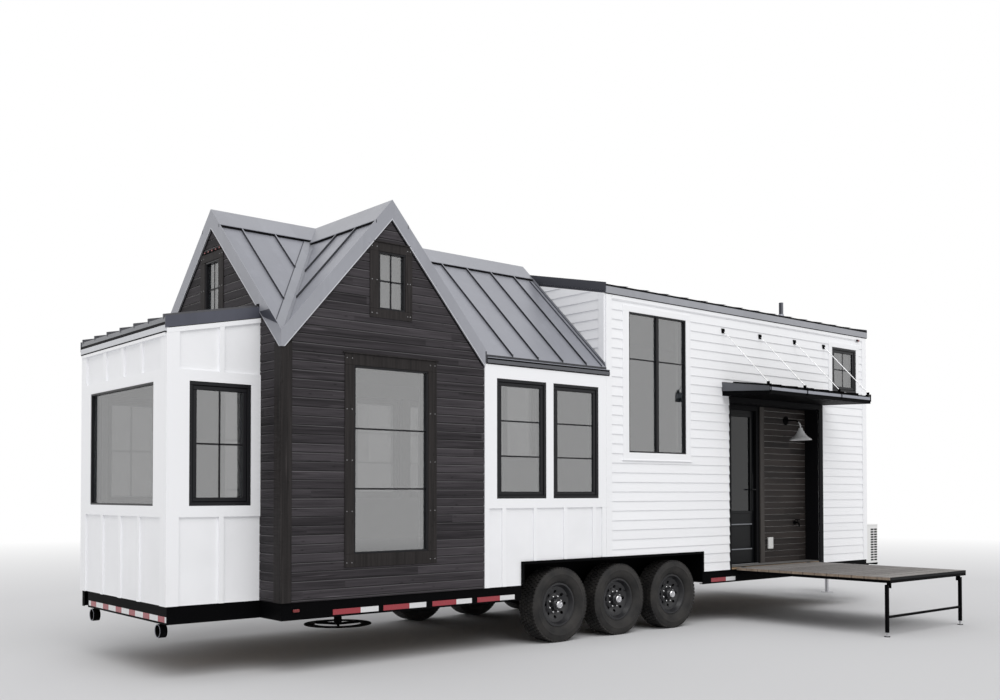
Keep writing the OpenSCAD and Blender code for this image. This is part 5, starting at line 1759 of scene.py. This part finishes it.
@dataclass(frozen=True)
class Wheel:
    """One wheel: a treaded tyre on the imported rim, with its nuts, cap and valve."""

    side: str
    place: str
    flank: tuple = ((0.2036, 0.0715), (0.2212, 0.0715), (0.2262, 0.084), (0.236, 0.094),
                    (0.261, 0.1085), (0.284, 0.1145), (0.3045, 0.1168), (0.3065, 0.1180),
                    (0.3085, 0.1168), (0.328, 0.1135), (0.346, 0.1095), (0.358, 0.103),
                    (0.366, 0.096))
    blocks: ClassVar[int] = 60
    block: tuple = (0.030, 0.034, 0.0225)
    rows: tuple = (-0.084, -0.042, 0.0, 0.042, 0.084)
    lug: tuple = (0.022, 0.006, 0.026)
    lean: ClassVar[float] = math.radians(28)
    cap: tuple = ((0.0, 0.093), (0.020, 0.093), (0.024, 0.102), (0.034, 0.102), (0.0415, 0.094),
                  (0.0435, 0.080), (0.0435, 0.060), (0.0, 0.060))
    nuts: ClassVar[int] = 8

    @property
    def body(self) -> str:
        """The CAD body that the wheel is."""
        return f"wheel_{self.side}_{self.place}"

    @property
    def out(self) -> int:
        """Which way along y the wheel's outer face looks."""
        return -1 if self.side == "near" else 1

    def part(self, name: str) -> Form:
        """Starts a piece named after the wheel."""
        return Form(f"{name}_{self.side}_{self.place}")

    def tread(self, form: Form, radius: float, centre: Vector) -> None:
        """Sets the tread blocks and the shoulder lugs round the tyre."""
        still = Matrix.Identity(4)
        cubes = [(0.5 * (row % 2), across, 0.0115, still, self.block) for row, across in enumerate(self.rows)]
        cubes += [(0.0, side * 0.1025, 0.029, Matrix.Rotation(side * self.lean, 4, "X"), self.lug)
                  for side in (-1, 1)]
        for number in range(self.blocks):
            for step, across, sink, lean, size in cubes:
                turn = Matrix.Rotation((number + step) * math.tau / self.blocks, 4, "Y")
                shift = Matrix.Translation((0, across, radius - sink))
                matrix = Matrix.Translation(centre) @ turn @ shift @ lean @ Matrix.Diagonal((*size, 1.0))
                bmesh.ops.create_cube(form.mesh, size=1.0, matrix=matrix)

    def tyre(self, centre: Vector, radius: float) -> None:
        """Spins the carcass and lays its tread."""
        form = Form(f"tyre_{self.side}_{self.place}_treaded")
        groove = radius - 0.012
        half = [*self.flank, (groove, 0.090)]
        profile = [*half, (groove, 0.03), (groove, -0.03), *((r, -h) for r, h in half[::-1])]
        form.revolve(profile, centre, (0, self.out, 0), 72)
        self.tread(form, radius, centre)
        form.finish(RUBBER, self.body, [f"tyre_{self.side}_{self.place}"], 40.0)

    def build(self) -> None:
        """Builds the wheel."""
        low, high = span(f"tyre_{self.side}_{self.place}")
        centre, axis = (low + high) / 2, Vector((0, self.out, 0))
        self.tyre(centre, (high.x - low.x) / 2)
        cap, nuts, valve = (self.part(name) for name in ("hub_cap", "wheel_nuts", "valve"))
        cap.revolve(self.cap, centre, axis, 32)
        cap.finish(CHROME, self.body)
        back, face, radius = 0.010, 0.034, 0.0110
        for number in range(self.nuts):
            angle = number * math.tau / self.nuts + math.pi / self.nuts
            at = centre + Vector((math.cos(angle), 0, math.sin(angle))) * 0.0825
            nuts.rod(at + axis * back, at + axis * face, radius, sides=6)
            nuts.ball(at + axis * face, 0.0095, 0.7, axis)
        nuts.finish(STAINLESS, self.body)
        at = centre + Vector((0.150, 0, 0.075))
        back, face, radius = 0.02, 0.065, 0.0045
        valve.rod(at + axis * back, at + axis * face, radius, sides=8)
        valve.finish(SEAL, self.body)


@dataclass(frozen=True)
class TongueDetail:
    """The crank of the jack and the coupler's latch."""

    crank: tuple = ((0, -0.05, 0), (0, -0.085, 0), (0, -0.095, -0.01), (0, -0.095, -0.16),
                    (0, -0.105, -0.17), (0, -0.19, -0.17))
    grip: tuple = ((0, -0.12, -0.17), (0, -0.20, -0.17))
    latch: tuple = ((0.05, 0), (0.15, 0), (0.12, 0.045), (0.03, 0.055))
    latch_half: float = 0.006

    def build(self) -> None:
        """Builds the small parts of the tongue."""
        crank, latch = Form("jack_crank"), Form("coupler_latch")
        low, high = span("tongue_jack")
        top = Vector(((low.x + high.x) / 2, (low.y + high.y) / 2, high.z - 0.035))
        crank.tube([top + Vector(step) for step in self.crank], 0.008)
        crank.rod(*(top + Vector(step) for step in self.grip), 0.014)
        crank.finish(ZINC)
        y = top.y - self.latch_half
        low, high = span("coupler")
        latch.prism([(low.x + x, y, high.z + z) for x, z in self.latch], (0, 2 * self.latch_half, 0))
        latch.finish(BLACK_STEEL)


@dataclass(frozen=True)
class CondenserDetail:
    """The fan, its guard, the lid and the slots of the condenser."""

    fan_at: Pair = (0.48, 0.85)
    rings: int = 9
    wire: float = 0.0015
    spokes: int = 6
    blades: int = 3
    blade: tuple = ((-0.02, 0.03), (0.035, 0.035), (0.09, 0.10), (0.06, 0.17), (-0.01, 0.175), (-0.03, 0.10))
    lid_out: float = 0.004
    rows: int = 13
    columns: tuple = ((0.120, 0.190), (0.208, 0.278))

    def fan(self, centre: Vector) -> None:
        """Builds the fan and the wire guard before it."""
        guard, fan = Form("fan_guard"), Form("fan")
        wire, along = self.wire, Vector((1, 0, 0))
        for ring in range(1, self.rings + 1):
            radius = ring * 0.0205
            guard.revolve([(radius - wire, -wire), (radius + wire, -wire), (radius + wire, wire),
                           (radius - wire, wire)], centre, along, 40)
        for number in range(self.spokes):
            angle = number * math.tau / self.spokes
            way = Vector((0, math.cos(angle), math.sin(angle)))
            guard.rod(centre, centre + way * 0.189, 0.002, sides=6)
        guard.rod(centre - along * 0.002, centre + along * 0.003, 0.03, sides=24)
        guard.finish(CONDENSER)
        hub = centre - along * 0.013
        fan.rod(hub - along * 0.002, hub + along * 0.004, 0.045, sides=24)
        for number in range(self.blades):
            turn = Matrix.Translation(hub) @ Matrix.Rotation(number * math.tau / self.blades, 4, "X")
            fan.prism([turn @ Vector((0.0, y, z)) for y, z in self.blade], (0.002, 0, 0))
        fan.finish(FRAME_BLACK)

    def case(self, low: Vector, high: Vector) -> None:
        """Builds the lid and the slotted panel on the near side."""
        lid, side, slots = Form("condenser_lid"), Form("condenser_side_panel"), Form("condenser_slots")
        past = Vector((self.lid_out,) * 3)
        lid.box(Vector((low.x, low.y, high.z - 0.02 + self.lid_out)) - past, high + past, 0.005)
        lid.finish(CONDENSER)
        side.box((low.x + 0.006, low.y - 0.003, low.z + 0.012),
                 (high.x - 0.002, low.y + 0.001, high.z - 0.022), EASED)
        pitch = (high.z - 0.045 - low.z - 0.030) / self.rows
        for row in range(self.rows):
            z = low.z + 0.030 + row * pitch
            for start, end in self.columns:
                slots.box((low.x + start, low.y - 0.0045, z),
                          (low.x + end, low.y - 0.001, z + pitch * 0.62), 0.0005)
        side.finish(CONDENSER)
        slots.finish(SEAL)

    def build(self) -> None:
        """Builds the fan side, the lid and the near side."""
        low, high = span("ac_unit")
        self.fan(Vector((high.x - 0.004, *self.fan_at)))
        self.case(low, high)


@dataclass(frozen=True)
class Studio:
    """The floor, the light and the camera; none of it is part of the house."""

    eye: Point = (-4.212, -7.724, 1.499)
    yaw: float = 40.273
    pitch: float = 1.2
    roll: float = 0.04
    lens: float = 37.993
    shift: float = 0.121
    floor_grey: Colour = (0.62, 0.62, 0.63)
    white: Colour = (1.0, 1.0, 1.0)
    fade: Pair = (9.0, 26.0)
    surround: float = 0.72
    sun: float = 1.35
    sun_from: Point = (-0.35, -0.8, 1.15)

    def floor(self) -> None:
        """Lays a pale floor that fades into the white background."""
        mesh = bmesh.new()
        bmesh.ops.create_grid(mesh, x_segments=1, y_segments=1, size=400.0)
        data = bpy.data.meshes.new("floor_stage")
        mesh.to_mesh(data)
        mesh.free()
        material = bpy.data.materials.new("pale floor")
        material.use_nodes = True
        graph = Graph(material.node_tree)
        away = graph.node("ShaderNodeVectorMath", {0: graph.place}, {"operation": "LENGTH"}, "Value")
        ground = graph.node("ShaderNodeBsdfDiffuse", {"Color": self.floor_grey})
        glow = graph.node("ShaderNodeEmission", {"Color": self.white, "Strength": 1.0})
        share = graph.between(away, *self.fade)
        graph.end(graph.node("ShaderNodeMixShader", {0: share, 1: ground, 2: glow}))
        data.materials.append(material)
        floor = bpy.data.objects.new("floor_stage", data)
        bpy.context.scene.collection.objects.link(floor)

    def world(self) -> None:
        """Gives a white surround, which lights the house a little less than it shows."""
        world = bpy.data.worlds.new("studio")
        bpy.context.scene.world = world
        world.use_nodes = True
        graph = Graph(world.node_tree)
        camera, glossy, through = (graph.node("ShaderNodeLightPath", output=name) for name in
                                   ("Is Camera Ray", "Is Glossy Ray", "Is Transmission Ray"))
        seen = camera.either(glossy).either(through)
        strength = seen * (1 - self.surround) + self.surround
        back = graph.node("ShaderNodeBackground", {"Color": self.white, "Strength": strength})
        output = graph.tree.nodes.new("ShaderNodeOutputWorld")
        graph.tree.links.new(back.link, output.inputs["Surface"])

    def lamps(self) -> None:
        """Adds one broad soft lamp from over the camera's shoulder."""
        light = bpy.data.lights.new("soft sun", "SUN")
        light.energy = self.sun
        light.angle = math.radians(50.0)
        sun = bpy.data.objects.new("soft_sun", light)
        sun.rotation_euler = Vector(self.sun_from).to_track_quat("Z", "Y").to_euler()
        bpy.context.scene.collection.objects.link(sun)

    def camera(self) -> None:
        """Stands the camera at the height and angle of the photograph."""
        data = bpy.data.cameras.new("camera")
        data.lens = self.lens
        data.shift_y = self.shift
        data.clip_end = 900.0
        eye = bpy.data.objects.new("camera", data)
        eye.location = Vector(self.eye) + ORIGIN
        eye.rotation_euler = (math.radians(90 + self.pitch), math.radians(self.roll), math.radians(-self.yaw))
        bpy.context.scene.collection.objects.link(eye)
        bpy.context.scene.camera = eye

    def build(self) -> None:
        """Sets the stage."""
        self.floor()
        self.world()
        self.lamps()
        self.camera()
        bpy.context.scene.view_settings.view_transform = "Standard"


WHEELS = [Wheel(side, place) for side in ("near", "far") for place in ("rear", "middle", "front")]
NODE_FINISHES: dict[Finish, tuple[str, ...]] = {
    BLACK_STEEL: ("chassis_rails", "cross_members", "side_channels", "tongue", "coupler", "tongue_jack",
                  "axles", "wheel_wells", "tail_lights", "awning", "deck_hinges", "deck_frame", "deck_legs"),
    SLIDE: ("jack_leg",),
    BLACK_TRIM: ("recess_returns", "door_frame"),
    DARK_CORE: ("near_gable_wall", "far_gable_wall", "rear_gable_wall", "rear_wall_sides", "recess_wall"),
    WHITE_CORE: ("near_low_wall", "near_tall_wall", "near_header_wall", "near_front_wall", "far_low_wall",
                 "far_tall_wall", "front_wall", "tall_end_walls", "bay_side_walls", "bay_end_wall"),
    GREY_METAL: ("cross_gable_roof",),
    GREY_CAP: ("roof_trim",),
    TALL_METAL: ("tall_roof",),
    DOOR_GLASS_SHADED: ("door_glass",),
    CONDENSER: ("ac_unit",),
    DOOR_BLACK: ("entry_door", "door_handle"),
    DECK_WOOD: ("deck_boards",),
    FLOOR_WOOD: ("floor",),
    RIM_PAINT: tuple(f"rim_{wheel.side}_{wheel.place}" for wheel in WHEELS),
}


def dress_nodes() -> None:
    """Gives every CAD node that is shown its finish."""
    for finish, nodes in NODE_FINISHES.items():
        for node in nodes:
            data = frame["nodes"][node].data
            data.materials.clear()
            data.materials.append(finish.material())


def main() -> None:
    """Builds the house round its frame, part by part."""
    logging.basicConfig(level=logging.INFO, format="%(message)s")
    dress_nodes()
    parts = (DarkCladding(), LapCladding(), PanelCladding(), WindowWork(), RoofDetail(), BayRoof(),
             WellTrim(), Entry(), AwningDetail(), BarnLamp(), DeckDetail(), TrailerDetail(), *WHEELS,
             TongueDetail(), CondenserDetail(), Studio())
    for part in parts:
        LOG.info("building %s", type(part).__name__)
        part.build()
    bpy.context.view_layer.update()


if __name__ == "__main__":
    main()
